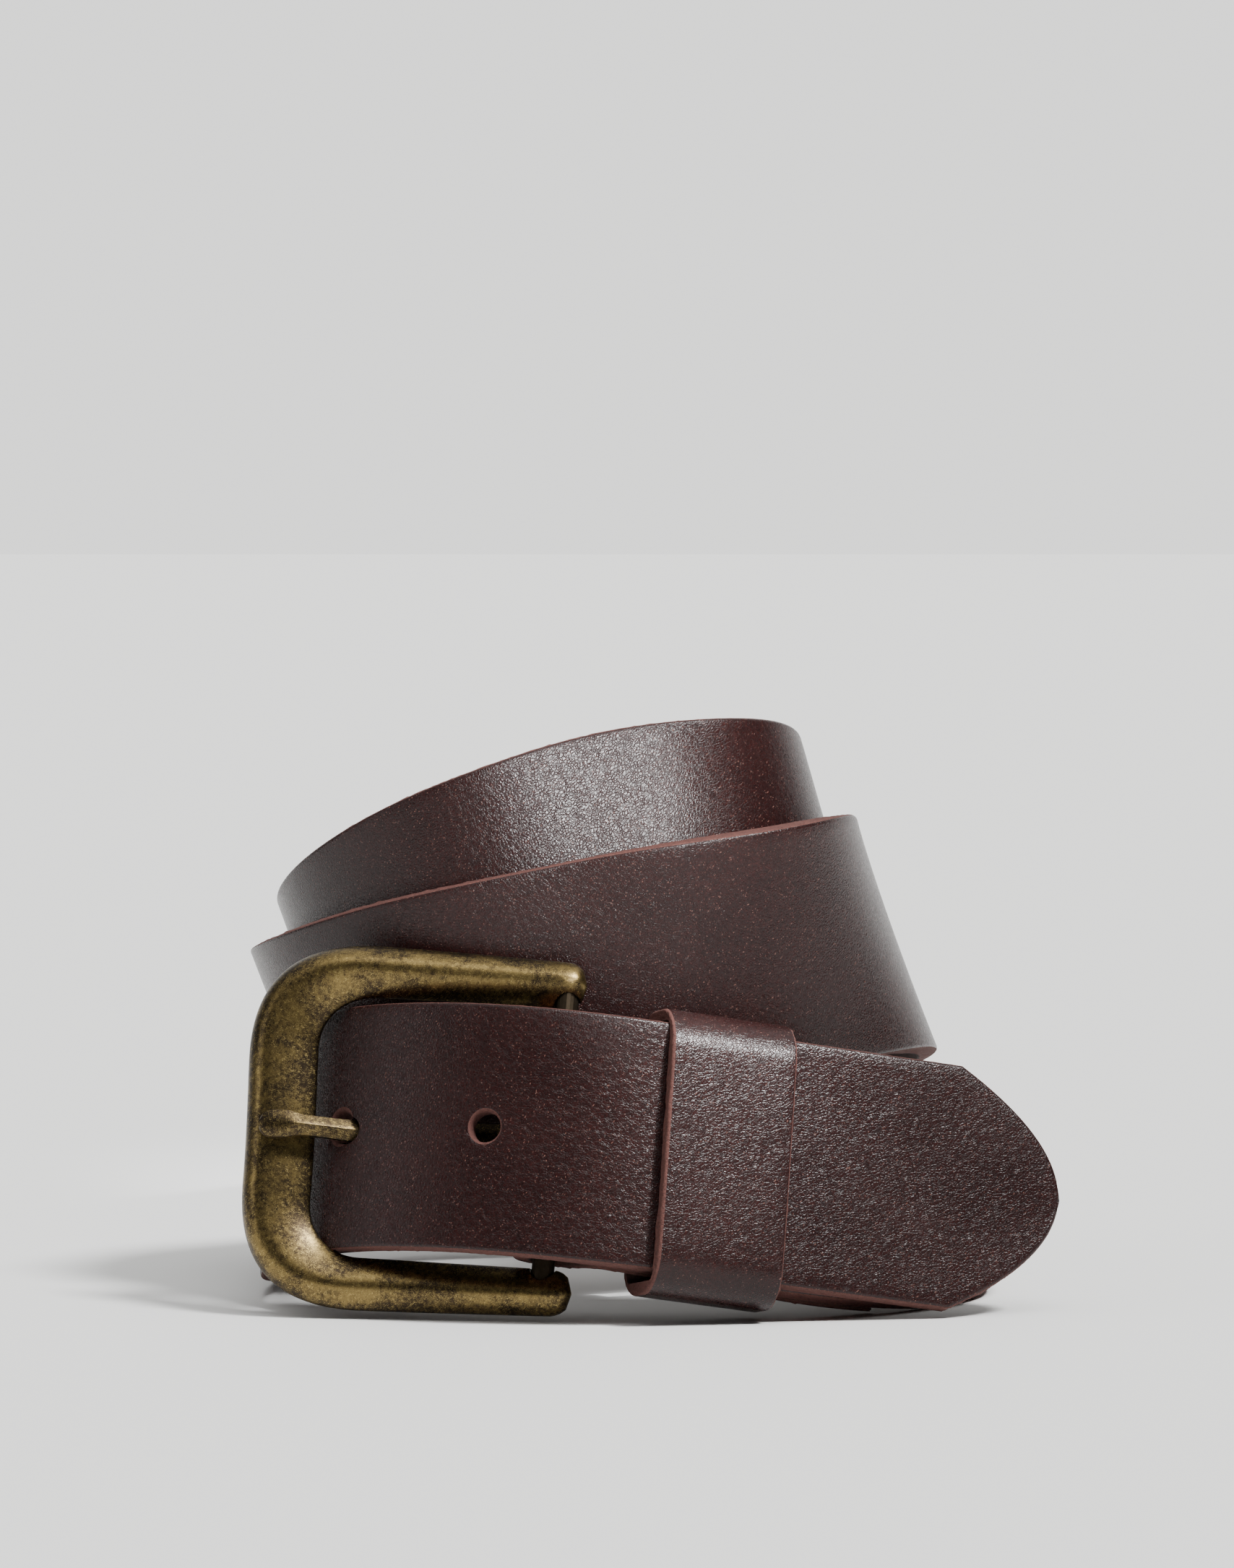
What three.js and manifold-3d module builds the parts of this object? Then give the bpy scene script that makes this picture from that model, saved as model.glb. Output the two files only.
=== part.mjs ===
// A leather belt, fastened and wound into a free-standing coil of three turns.
// Millimetres, +Z up, front towards -Y. Origin: bottom centre of the coil's bounding box.
import * as THREE from 'three';
import { mergeVertices } from 'three/addons/utils/BufferGeometryUtils.js';
import Module from 'manifold-3d';

const wasm = await Module();
wasm.setup();

// ---------- driving dimensions ----------
const STRAP_WIDTH = 38;
const STRAP_THICKNESS = 3.4;
const EDGE_CHAMFER = 0.9;
const SKIVED_THICKNESS = 1.6;
const CLEARANCE = 0.35;

// How the centre line of the strap winds: [turn, radius from the axis, height, lean inwards (deg)].
// Turn 0 is at the front, a quarter turn is the left side, a half turn is the back.
const WINDING = [
  [-0.1, 54.7, 21.7, 18],
  [-0.04, 56.5, 25.4, 15],
  [0.03, 56.4, 28.4, 15],
  [0.12, 55.3, 27.4, 14],
  [0.25, 51.5, 19.3, -3],
  [0.5, 63.3, 34.6, 2.5],
  [0.75, 45, 55, 17],
  [0.875, 40, 54.5, -4.5],
  [1, 33.8, 49.6, -1],
  [1.125, 39.5, 43.4, -9.5],
  [1.25, 46, 35.9, -21],
  [1.5, 48.1, 45.6, 3.5],
  [1.75, 35.9, 68.4, 17.5],
  [1.875, 30.6, 71.2, 14],
  [2, 26.6, 68.2, 10],
  [2.125, 34.8, 58.9, -1],
  [2.25, 42.5, 44.3, -17],
  [2.5, 43, 31, 4],
  [2.75, 51.2, 16.6, 34],
  [2.875, 54.2, 18.7, 20],
  [2.96, 51.9, 24.6, 15],
  [3.03, 51.8, 28.2, 15],
];
const FREE_END_TURN = -0.04;
const HEEL_TURN = 3.019;
const WINDING_STEPS = 132;

const HINGE_REACH = 21.5;
const FREE_END_LENGTH = 38.5;
const TIP_TAPER = 17;

const HOLE_PITCH = 25.4;
const HOLE_RADIUS = 2.3;
const BUCKLED_HOLE_TURN = 0.118;
const FIRST_HOLE = -1;
const LAST_HOLE = 3;

const BAR_RADIUS = 1.75;
const BAR_SKEW = 4.1;
const BAR_PRESSED = 3;
const FOLD_GAP = 0.5;
const FOLD_STRAIGHT = 2;
const FOLD_CLOSED = 10;
const FLAP_LENGTH = 52;
const FLAP_END_THICKNESS = 1.1;

const FRAME_DEPTH = 5.6;
const FRAME_REACH = 42.8;
const FRAME_YAW = 5.9;
const FRAME_FRONT_HEIGHT = 56.6;
const FRAME_HEEL_HEIGHT = 53.6;
const FRONT_BAR_WIDTH = 10;
const FRAME_BEVEL = 1.2;
const FRAME_CORNER = 19;
const CORNER_SOFTNESS = 0.33;
const WINDOW_CORNER = 6;
const ARM_INSIDE = 20.2;
const ARM_END_UPPER = 2.8;
const ARM_END_LOWER = 4.7;
const ARM_ROUND = 2.4;
const ARM_BOW = 0.2;
const BOW_FROM = 8;

const PRONG_WIDTH = 3.7;
const PRONG_THICKNESS = 2.6;
const PRONG_EYE_RADIUS = 3.9;
const PRONG_LENGTH = 45;
const PRONG_BEND_FROM = 27;
const PRONG_BEND_TO = 39.2;
const PRONG_BORE_FROM = 19;
const PRONG_BORE_TO = 38;
const PRONG_LIFT = 1.2;
const PRONG_SWAY = 1.2;
const PRONG_EYE_WIDTH = 4.6;
const PRONG_STEPS = 14;
const SLOT_WIDTH = 5.6;
const SLOT_LENGTH = 17;

const KEEPER_WIDTH = 20;
const KEEPER_THICKNESS = 2;
const KEEPER_CENTRE = 5.3;
const KEEPER_DROP = 1.9;
const KEEPER_RISE = 0.5;
const KEEPER_SHEAR = 1.4;
const KEEPER_DEPTH = 12.8;
const KEEPER_CORNER = 4.2;
const KEEPER_INNER_CORNER = 2;
const STAPLE_SPAN = 9;
const STAPLE_RADIUS = 0.5;
const STAPLE_LEG = 0.5;

const SCREW_STATION = 46;
const SCREW_SPREAD = 9.5;
const SCREW_HEAD_RADIUS = 4;
const SCREW_HEAD_THICKNESS = 0.9;
const SCREW_RECESS = 0.5;
const POST_RADIUS = 2.2;
const SHANK_RADIUS = 1.3;

const HALF_WIDTH = STRAP_WIDTH / 2;
const HALF_THICKNESS = STRAP_THICKNESS / 2;

// ---------- materials ----------
const leather = new THREE.MeshStandardMaterial({ color: 0x3a2422, roughness: 0.5 });
const brass = new THREE.MeshStandardMaterial({ color: 0x7d6a3c, roughness: 0.38, metalness: 1 });
const steel = new THREE.MeshStandardMaterial({ color: 0x9a9a98, roughness: 0.3, metalness: 1 });

// ---------- solids ----------
function toSolid(geometry) {
  const bare = geometry.clone();
  bare.deleteAttribute('normal');
  bare.deleteAttribute('uv');
  const merged = mergeVertices(bare, 1e-5);
  return new wasm.Manifold(new wasm.Mesh({
    numProp: 3,
    vertProperties: new Float32Array(merged.attributes.position.array),
    triVerts: new Uint32Array(merged.index.array),
  }));
}

function toGeometry(solid) {
  const mesh = solid.getMesh();
  const geometry = new THREE.BufferGeometry();
  geometry.setAttribute('position', new THREE.BufferAttribute(mesh.vertProperties, 3));
  geometry.setIndex(new THREE.BufferAttribute(mesh.triVerts, 1));
  geometry.computeVertexNormals();
  return geometry;
}

function cut(geometry, cutters) {
  let solid = toSolid(geometry);
  for (const cutter of cutters) {
    solid = solid.subtract(toSolid(cutter));
  }
  return toGeometry(solid);
}

// A closed solid through a row of equal, convex sections, turned to face outwards.
function loft(sections) {
  const count = sections[0].length;
  const points = sections.flat();
  const faces = [];
  for (let i = 0; i + 1 < sections.length; i += 1) {
    for (let j = 0; j < count; j += 1) {
      const a = i * count + j;
      const b = i * count + ((j + 1) % count);
      faces.push(a, b, b + count, a, b + count, a + count);
    }
  }
  const last = (sections.length - 1) * count;
  for (let j = 1; j + 1 < count; j += 1) {
    faces.push(0, j + 1, j, last, last + j, last + j + 1);
  }
  let volume = 0;
  for (let i = 0; i < faces.length; i += 3) {
    const [a, b, c] = [points[faces[i]], points[faces[i + 1]], points[faces[i + 2]]];
    volume += a.dot(b.clone().cross(c));
  }
  const geometry = new THREE.BufferGeometry().setFromPoints(points);
  geometry.setIndex(volume > 0 ? faces : faces.reverse());
  geometry.computeVertexNormals();
  return geometry;
}

// The strap's cross-section: a flat bar with chamfered edges, around frame f.
function strapSection(f, halfWidth, thickness) {
  const b = thickness / 2;
  const c = Math.min(EDGE_CHAMFER, b * 0.55, halfWidth * 0.5);
  const corners = [
    [halfWidth, b - c], [halfWidth - c, b], [c - halfWidth, b], [-halfWidth, b - c],
    [-halfWidth, c - b], [c - halfWidth, -b], [halfWidth - c, -b], [halfWidth, c - b],
  ];
  return corners.map(([across, out]) => at(f, 0, out, across));
}

// A point at (along, out, across) in a frame made of an origin p and unit axes t, n and w.
function at(f, along, out, across) {
  return f.p.clone()
    .addScaledVector(f.t, along)
    .addScaledVector(f.n, out)
    .addScaledVector(f.w, across);
}

function roundBar(f, axis, radius, from, to, sides = 16) {
  const bar = new THREE.CylinderGeometry(radius, radius, to - from, sides);
  bar.translate(0, (from + to) / 2, 0);
  const turn = new THREE.Quaternion().setFromUnitVectors(new THREE.Vector3(0, 1, 0), axis);
  bar.applyQuaternion(turn);
  return bar.translate(f.p.x, f.p.y, f.p.z);
}

// ---------- the winding ----------
// Natural cubic spline through one column of the winding list.
function spline(column) {
  const x = WINDING.map((row) => row[0]);
  const y = WINDING.map((row) => row[column]);
  const n = x.length;
  const bend = new Array(n).fill(0);
  const c = new Array(n).fill(0);
  const d = new Array(n).fill(0);
  for (let i = 1; i + 1 < n; i += 1) {
    const before = x[i] - x[i - 1];
    const after = x[i + 1] - x[i];
    const kink = 6 * ((y[i + 1] - y[i]) / after - (y[i] - y[i - 1]) / before);
    const pivot = 2 * (before + after) - before * c[i - 1];
    c[i] = after / pivot;
    d[i] = (kink - before * d[i - 1]) / pivot;
  }
  for (let i = n - 2; i > 0; i -= 1) {
    bend[i] = d[i] - c[i] * bend[i + 1];
  }
  return (value) => {
    let i = 0;
    while (i < n - 2 && value > x[i + 1]) {
      i += 1;
    }
    const h = x[i + 1] - x[i];
    const a = (x[i + 1] - value) / h;
    const b = (value - x[i]) / h;
    const curve = ((a ** 3 - a) * bend[i] + (b ** 3 - b) * bend[i + 1]) * h * h / 6;
    return a * y[i] + b * y[i + 1] + curve;
  };
}

const radiusAt = spline(1);
const heightAt = spline(2);
const leanAt = spline(3);

function centreAt(turn) {
  const angle = 2 * Math.PI * turn;
  const radius = radiusAt(turn);
  return new THREE.Vector3(-radius * Math.sin(angle), -radius * Math.cos(angle), heightAt(turn));
}

// p: centre line, t: along the strap, n: out of its grain side, w: up across its width.
function strapFrame(turn) {
  const step = 1e-4;
  const p = centreAt(turn);
  const t = centreAt(turn + step).sub(centreAt(turn - step)).normalize();
  const outward = new THREE.Vector3(t.y, -t.x, 0).normalize();
  if (outward.dot(new THREE.Vector3(p.x, p.y, 0)) < 0) {
    outward.negate();
  }
  const w = new THREE.Vector3(0, 0, 1)
    .addScaledVector(outward, -Math.tan(THREE.MathUtils.degToRad(leanAt(turn))));
  w.addScaledVector(t, -w.dot(t)).normalize();
  const n = new THREE.Vector3().crossVectors(t, w);
  if (n.dot(outward) < 0) {
    n.negate();
  }
  return { p, t, n, w };
}

// The turn that lies a given length further along the centre line.
function turnAfter(turn, length) {
  const step = Math.sign(length) * 0.0005;
  let here = turn;
  let left = Math.abs(length);
  while (left > 0) {
    left -= centreAt(here + step).distanceTo(centreAt(here));
    here += step;
  }
  return here;
}

const freeEnd = strapFrame(FREE_END_TURN);
const heel = strapFrame(HEEL_TURN);

// A frame on the straight free end, a given length towards the tip.
function freeEndFrame(reach) {
  return { ...freeEnd, p: at(freeEnd, -reach, 0, 0) };
}

const BAR_DEPTH = HALF_THICKNESS + FOLD_GAP + BAR_RADIUS;
const skew = new THREE.Quaternion().setFromAxisAngle(heel.n, THREE.MathUtils.degToRad(BAR_SKEW));
const bar = {
  p: at(heel, 0, -BAR_DEPTH, 0),
  t: heel.t.clone().applyQuaternion(skew),
  n: heel.n,
  w: heel.w.clone().applyQuaternion(skew),
};

// ---------- strap ----------
// The fold: half a turn round the heel bar, thinning as it goes.
function foldSections() {
  const sections = [];
  const steps = 10;
  for (let i = 1; i <= steps; i += 1) {
    const angle = Math.PI * i / steps;
    const thickness = THREE.MathUtils.lerp(STRAP_THICKNESS, SKIVED_THICKNESS, i / steps);
    const n = bar.n.clone().multiplyScalar(Math.cos(angle)).addScaledVector(bar.t, Math.sin(angle));
    const f = { p: bar.p, t: bar.t, n, w: bar.w };
    f.p = at(f, 0, BAR_RADIUS + FOLD_GAP + thickness / 2, 0);
    sections.push(strapSection(f, HALF_WIDTH, thickness));
  }
  return sections;
}

function flapOffset(length) {
  const open = HALF_THICKNESS + 2 * (FOLD_GAP + BAR_RADIUS) + SKIVED_THICKNESS / 2;
  const shut = HALF_THICKNESS + CLEARANCE + SKIVED_THICKNESS / 2;
  const share = THREE.MathUtils.smoothstep(length, FOLD_STRAIGHT, FOLD_CLOSED);
  return THREE.MathUtils.lerp(open, shut, share);
}

function flapFrame(length) {
  const f = strapFrame(turnAfter(HEEL_TURN, -length));
  const offset = flapOffset(length);
  return { p: at(f, 0, -offset, 0), t: f.t, n: f.n.clone().negate(), w: f.w };
}

function flapSections() {
  const sections = [];
  const steps = 16;
  for (let i = 1; i <= steps; i += 1) {
    const length = FLAP_LENGTH * i / steps;
    const thin = THREE.MathUtils.smoothstep(length, FLAP_LENGTH - 10, FLAP_LENGTH);
    const thickness = THREE.MathUtils.lerp(SKIVED_THICKNESS, FLAP_END_THICKNESS, thin);
    sections.push(strapSection(flapFrame(length), HALF_WIDTH, thickness));
  }
  return sections;
}

function strapSolid() {
  const sections = [];
  for (const reach of [HINGE_REACH, HINGE_REACH * 0.66, HINGE_REACH * 0.33]) {
    sections.push(strapSection(freeEndFrame(reach), HALF_WIDTH, STRAP_THICKNESS));
  }
  for (let i = 0; i <= WINDING_STEPS; i += 1) {
    const turn = THREE.MathUtils.lerp(FREE_END_TURN, HEEL_TURN, i / WINDING_STEPS);
    sections.push(strapSection(strapFrame(turn), HALF_WIDTH, STRAP_THICKNESS));
  }
  return loft([...sections, ...foldSections(), ...flapSections()]);
}

// ---------- cutters through the strap ----------
const hinge = freeEndFrame(HINGE_REACH);

function hingeSocket() {
  return roundBar(hinge, hinge.w, HALF_THICKNESS + CLEARANCE, -HALF_WIDTH - 1, HALF_WIDTH + 1, 24);
}

function sizeHoles() {
  const cutters = [];
  for (let i = FIRST_HOLE; i <= LAST_HOLE; i += 1) {
    if (i !== 0) {
      const f = strapFrame(turnAfter(BUCKLED_HOLE_TURN, i * HOLE_PITCH));
      cutters.push(roundBar(f, f.n, HOLE_RADIUS, -3, 3));
    }
  }
  return cutters;
}

// ---------- buckle ----------
// Local axes of the buckle: x from the heel bar to the front bar, y out of the coil, z up the bar.
function buckleAxes() {
  const yaw = THREE.MathUtils.degToRad(FRAME_YAW);
  const x = bar.t.clone().multiplyScalar(Math.cos(yaw)).addScaledVector(bar.n, -Math.sin(yaw));
  const z = bar.w.clone();
  const y = new THREE.Vector3().crossVectors(z, x);
  if (y.dot(bar.n) < 0) {
    y.negate();
  }
  return { p: bar.p, t: x, n: y, w: z };
}

const buckle = buckleAxes();

// A flat outline drawn in (along, across), given a depth, and laid in a frame's t-w plane.
function layFlat(outline, f, outFrom, outTo, bevel) {
  const settings = { depth: outTo - outFrom - 2 * bevel, curveSegments: 8, bevelEnabled: bevel > 0 };
  if (bevel > 0) {
    Object.assign(settings, { bevelThickness: bevel, bevelSize: bevel, bevelOffset: -bevel });
    settings.bevelSegments = 2;
  }
  const slab = new THREE.ExtrudeGeometry(outline, settings);
  const up = new THREE.Vector3().crossVectors(f.t, f.w);
  const handed = Math.sign(up.dot(f.n));
  slab.translate(0, 0, handed > 0 ? outFrom + bevel : -outTo + bevel);
  const { p } = f;
  return slab.applyMatrix4(new THREE.Matrix4().makeBasis(f.t, f.w, up).setPosition(p));
}

function frameOutline() {
  const front = FRAME_REACH + FRONT_BAR_WIDTH / 2;
  const inner = FRAME_REACH - FRONT_BAR_WIDTH / 2;
  const high = FRAME_FRONT_HEIGHT / 2;
  const low = FRAME_HEEL_HEIGHT / 2;
  const soft = CORNER_SOFTNESS * FRAME_CORNER;
  const [upper, lower] = [-ARM_END_UPPER, -ARM_END_LOWER];
  const outline = new THREE.Shape();
  outline.moveTo(ARM_ROUND + upper, low);
  outline.quadraticCurveTo(BOW_FROM, low + ARM_BOW, front - FRAME_CORNER, high);
  outline.bezierCurveTo(
    front - soft, high + ARM_BOW, front, high - soft, front, high - FRAME_CORNER,
  );
  outline.lineTo(front, FRAME_CORNER - high);
  outline.bezierCurveTo(
    front, soft - high, front - soft, -high - ARM_BOW, front - FRAME_CORNER, -high,
  );
  outline.quadraticCurveTo(BOW_FROM, -low - ARM_BOW, ARM_ROUND + lower, -low);
  outline.quadraticCurveTo(lower, -low, lower, ARM_ROUND - low);
  outline.lineTo(lower, -ARM_INSIDE - 1);
  outline.lineTo(lower + 1, -ARM_INSIDE);
  outline.lineTo(inner - WINDOW_CORNER, -ARM_INSIDE);
  outline.quadraticCurveTo(inner, -ARM_INSIDE, inner, WINDOW_CORNER - ARM_INSIDE);
  outline.lineTo(inner, ARM_INSIDE - WINDOW_CORNER);
  outline.quadraticCurveTo(inner, ARM_INSIDE, inner - WINDOW_CORNER, ARM_INSIDE);
  outline.lineTo(upper + 1, ARM_INSIDE);
  outline.lineTo(upper, ARM_INSIDE + 1);
  outline.lineTo(upper, low - ARM_ROUND);
  outline.quadraticCurveTo(upper, low, ARM_ROUND + upper, low);
  return outline;
}

function buckleFrame() {
  const reach = ARM_INSIDE + BAR_PRESSED + CLEARANCE;
  const frame = layFlat(frameOutline(), buckle, -FRAME_DEPTH / 2, FRAME_DEPTH / 2, FRAME_BEVEL);
  return cut(frame, [roundBar(buckle, buckle.w, BAR_RADIUS + CLEARANCE * 0.8, -reach, reach, 20)]);
}

function buckleBar() {
  const reach = ARM_INSIDE + BAR_PRESSED;
  return roundBar(buckle, buckle.w, BAR_RADIUS, -reach, reach, 20);
}

// ---------- prong ----------
// Centre line of the prong in the buckle's (along, out) plane: from the bar, out through the
// strap's hole, onto the front bar.
function prongLine(along) {
  const rest = FRAME_DEPTH / 2 + CLEARANCE + PRONG_THICKNESS / 2;
  return rest * THREE.MathUtils.smoothstep(along, PRONG_BEND_FROM, PRONG_BEND_TO);
}

function prongSections(from, to, halfWidth, halfThickness, lift) {
  const sections = [];
  for (let i = 0; i <= PRONG_STEPS; i += 1) {
    const along = THREE.MathUtils.lerp(from, to, i / PRONG_STEPS);
    const slope = Math.atan2(prongLine(along + 0.1) - prongLine(along - 0.1), 0.2);
    const n = buckle.n.clone().multiplyScalar(Math.cos(slope))
      .addScaledVector(buckle.t, -Math.sin(slope));
    const sway = -PRONG_SWAY * along / PRONG_LENGTH;
    const f = { p: at(buckle, along, prongLine(along), sway), n, w: buckle.w, t: buckle.t };
    f.p.addScaledVector(n, lift / 2);
    sections.push(strapSection(f, halfWidth(along), 2 * halfThickness + lift));
  }
  return sections;
}

// The shaft narrows to a neck, and the head that lies on the front bar is a little wider.
function prongHalfWidth(along) {
  const neck = THREE.MathUtils.smoothstep(along, 24, 37);
  const head = THREE.MathUtils.smoothstep(along, FRAME_REACH - 5, FRAME_REACH - 1);
  return (PRONG_WIDTH - 0.5 * neck + 1.1 * head) / 2;
}

function prong() {
  const shaft = loft(prongSections(0, PRONG_LENGTH, prongHalfWidth, PRONG_THICKNESS / 2, 0));
  const half = PRONG_EYE_WIDTH / 2;
  const eye = roundBar(buckle, buckle.w, PRONG_EYE_RADIUS, -half, half, 24);
  const bore = roundBar(buckle, buckle.w, BAR_RADIUS + CLEARANCE, -half - 1, half + 1, 20);
  return toGeometry(toSolid(shaft).add(toSolid(eye)).subtract(toSolid(bore)));
}

function prongBore() {
  const wide = () => PRONG_WIDTH / 2 + 0.5;
  const high = PRONG_THICKNESS / 2 + CLEARANCE;
  return loft(prongSections(PRONG_BORE_FROM, PRONG_BORE_TO, wide, high, PRONG_LIFT));
}

function prongSlot() {
  const slot = new THREE.BoxGeometry(SLOT_LENGTH, 16, SLOT_WIDTH);
  slot.translate(-0.5, -5.9, 0);
  const matrix = new THREE.Matrix4().makeBasis(heel.t, heel.n, heel.w);
  if (matrix.determinant() < 0) {
    slot.scale(1, 1, -1);
    slot.index.array.reverse();
  }
  return slot.applyMatrix4(matrix.setPosition(heel.p));
}

// ---------- keeper ----------
const keeperFrame = freeEndFrame(KEEPER_CENTRE);

function roundedBox(x0, y0, x1, y1, radius) {
  const outline = new THREE.Shape();
  outline.moveTo(x0 + radius, y0);
  outline.lineTo(x1 - radius, y0);
  outline.quadraticCurveTo(x1, y0, x1, y0 + radius);
  outline.lineTo(x1, y1 - radius);
  outline.quadraticCurveTo(x1, y1, x1 - radius, y1);
  outline.lineTo(x0 + radius, y1);
  outline.quadraticCurveTo(x0, y1, x0, y1 - radius);
  outline.lineTo(x0, y0 + radius);
  outline.quadraticCurveTo(x0, y0, x0 + radius, y0);
  return outline;
}

const KEEPER_TOP = HALF_WIDTH + KEEPER_RISE;
const KEEPER_BOTTOM = -HALF_WIDTH - KEEPER_DROP;
const KEEPER_FRONT = HALF_THICKNESS + CLEARANCE;
const KEEPER_BACK = KEEPER_FRONT - KEEPER_DEPTH;

function keeperLoop() {
  const wall = KEEPER_THICKNESS;
  const outer = roundedBox(
    KEEPER_BACK - wall, KEEPER_BOTTOM - wall, KEEPER_FRONT + wall, KEEPER_TOP + wall, KEEPER_CORNER,
  );
  const inner = roundedBox(
    KEEPER_BACK, KEEPER_BOTTOM, KEEPER_FRONT, KEEPER_TOP, KEEPER_INNER_CORNER,
  );
  outer.holes.push(inner);
  const bevel = 0.5;
  const loop = new THREE.ExtrudeGeometry(outer, {
    depth: KEEPER_WIDTH - 2 * bevel,
    curveSegments: 4,
    bevelThickness: bevel,
    bevelSize: bevel,
    bevelOffset: -bevel,
    bevelSegments: 1,
  });
  loop.translate(0, 0, bevel - KEEPER_WIDTH / 2);
  const { p, n, w } = keeperFrame;
  const along = new THREE.Vector3().crossVectors(n, w);
  const shear = -KEEPER_SHEAR / KEEPER_DEPTH;
  loop.applyMatrix4(new THREE.Matrix4().makeShear(shear, 0, 0, 0, 0, 0));
  loop.translate(0, -shear * KEEPER_FRONT, 0);
  loop.applyMatrix4(new THREE.Matrix4().makeBasis(n, w, along).setPosition(p));
  return cut(loop, stapleLegs(STAPLE_RADIUS + CLEARANCE * 0.8, 2));
}

// The two legs of the staple, which pass through the keeper's back wall.
function stapleLegs(radius, beyond) {
  const from = KEEPER_BACK - KEEPER_THICKNESS - CLEARANCE - STAPLE_RADIUS - beyond;
  const to = KEEPER_BACK - STAPLE_LEG + beyond;
  return [-1, 1].map((end) => {
    const foot = { p: at(keeperFrame, 0, 0, end * STAPLE_SPAN / 2 - 3) };
    return roundBar(foot, keeperFrame.n, radius, from, to, 8);
  });
}

function keeperStaple() {
  const out = KEEPER_BACK - KEEPER_THICKNESS - CLEARANCE;
  const middle = { p: at(keeperFrame, 0, out - STAPLE_RADIUS, -3) };
  const reach = STAPLE_SPAN / 2 + STAPLE_RADIUS;
  let solid = toSolid(roundBar(middle, keeperFrame.w, STAPLE_RADIUS, -reach, reach, 8));
  for (const leg of stapleLegs(STAPLE_RADIUS, 0)) {
    solid = solid.add(toSolid(leg));
  }
  return toGeometry(solid);
}

// ---------- screws that clamp the folded end ----------
function screwFrame(side) {
  const f = strapFrame(turnAfter(HEEL_TURN, -SCREW_STATION));
  return { ...f, p: at(f, 0, 0, side * SCREW_SPREAD) };
}

const GRAIN_SIDE = HALF_THICKNESS;
const FLAP_SIDE = -HALF_THICKNESS - CLEARANCE - SKIVED_THICKNESS;

function screwCutters(side) {
  const f = screwFrame(side);
  const room = SCREW_HEAD_RADIUS + CLEARANCE;
  return [
    roundBar(f, f.n, POST_RADIUS + CLEARANCE, FLAP_SIDE - 1, GRAIN_SIDE + 1),
    roundBar(f, f.n, room, GRAIN_SIDE - SCREW_RECESS, GRAIN_SIDE + 1.5, 20),
    roundBar(f, f.n, room, FLAP_SIDE - 1.5, FLAP_SIDE + SCREW_RECESS, 20),
  ];
}

function screwPost(side) {
  const f = screwFrame(side);
  const seat = GRAIN_SIDE - SCREW_RECESS + CLEARANCE;
  const end = FLAP_SIDE + SCREW_RECESS + 0.15;
  const head = roundBar(f, f.n, SCREW_HEAD_RADIUS, seat, seat + SCREW_HEAD_THICKNESS, 20);
  const barrel = roundBar(f, f.n, POST_RADIUS, end, seat + 0.2, 16);
  const thread = roundBar(f, f.n, SHANK_RADIUS + CLEARANCE * 0.8, end - 1, seat - 0.4, 12);
  return toGeometry(toSolid(head).add(toSolid(barrel)).subtract(toSolid(thread)));
}

function screw(side) {
  const f = screwFrame(side);
  const seat = FLAP_SIDE + SCREW_RECESS - CLEARANCE;
  const head = roundBar(f, f.n, SCREW_HEAD_RADIUS, seat - SCREW_HEAD_THICKNESS, seat, 20);
  const shank = roundBar(f, f.n, SHANK_RADIUS, seat - 0.2, GRAIN_SIDE - SCREW_RECESS - 0.6, 12);
  const driver = new THREE.BoxGeometry(1.1, 2 * SCREW_HEAD_RADIUS + 2, 0.8);
  const turn = new THREE.Quaternion().setFromUnitVectors(new THREE.Vector3(0, 0, 1), f.n);
  driver.applyQuaternion(turn);
  const place = at(f, 0, seat - SCREW_HEAD_THICKNESS, 0);
  driver.translate(place.x, place.y, place.z);
  return toGeometry(toSolid(head).add(toSolid(shank)).subtract(toSolid(driver)));
}

// ---------- free end ----------
function tipSolid() {
  const sections = [];
  const beyond = FREE_END_LENGTH - TIP_TAPER;
  for (const reach of [0, beyond * 0.33, beyond * 0.66]) {
    sections.push(strapSection(freeEndFrame(HINGE_REACH + reach), HALF_WIDTH, STRAP_THICKNESS));
  }
  const steps = 12;
  for (let i = 0; i < steps; i += 1) {
    const share = (i / steps) * (2 - i / steps);
    const halfWidth = HALF_WIDTH * Math.sqrt(1 - share);
    const f = freeEndFrame(HINGE_REACH + beyond + TIP_TAPER * share);
    sections.push(strapSection(f, halfWidth, STRAP_THICKNESS));
  }
  const plate = toSolid(loft(sections));
  const knuckle = roundBar(hinge, hinge.w, HALF_THICKNESS, -HALF_WIDTH + 0.4, HALF_WIDTH - 0.4, 24);
  return toGeometry(plate.add(toSolid(knuckle)));
}

// ---------- assembly ----------
const belt = new THREE.Group();

function add(name, geometry, material) {
  const mesh = new THREE.Mesh(geometry, material);
  mesh.name = name;
  belt.add(mesh);
}

const strapCutters = [hingeSocket(), prongSlot(), prongBore(), ...sizeHoles()];
for (const side of [-1, 1]) {
  strapCutters.push(...screwCutters(side));
}
add('strap', cut(strapSolid(), strapCutters), leather);
add('strap_tip', tipSolid(), leather);
add('buckle_frame', buckleFrame(), brass);
add('buckle_bar', buckleBar(), brass);
add('prong', prong(), brass);
add('keeper_loop', keeperLoop(), leather);
add('keeper_staple', keeperStaple(), steel);
add('screw_post_lower', screwPost(-1), brass);
add('screw_post_upper', screwPost(1), brass);
add('screw_lower', screw(-1), brass);
add('screw_upper', screw(1), brass);

const box = new THREE.Box3().setFromObject(belt);
const middle = box.getCenter(new THREE.Vector3());
belt.position.set(-middle.x, -middle.y, -box.min.z);

export default belt;
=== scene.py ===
import math

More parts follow.
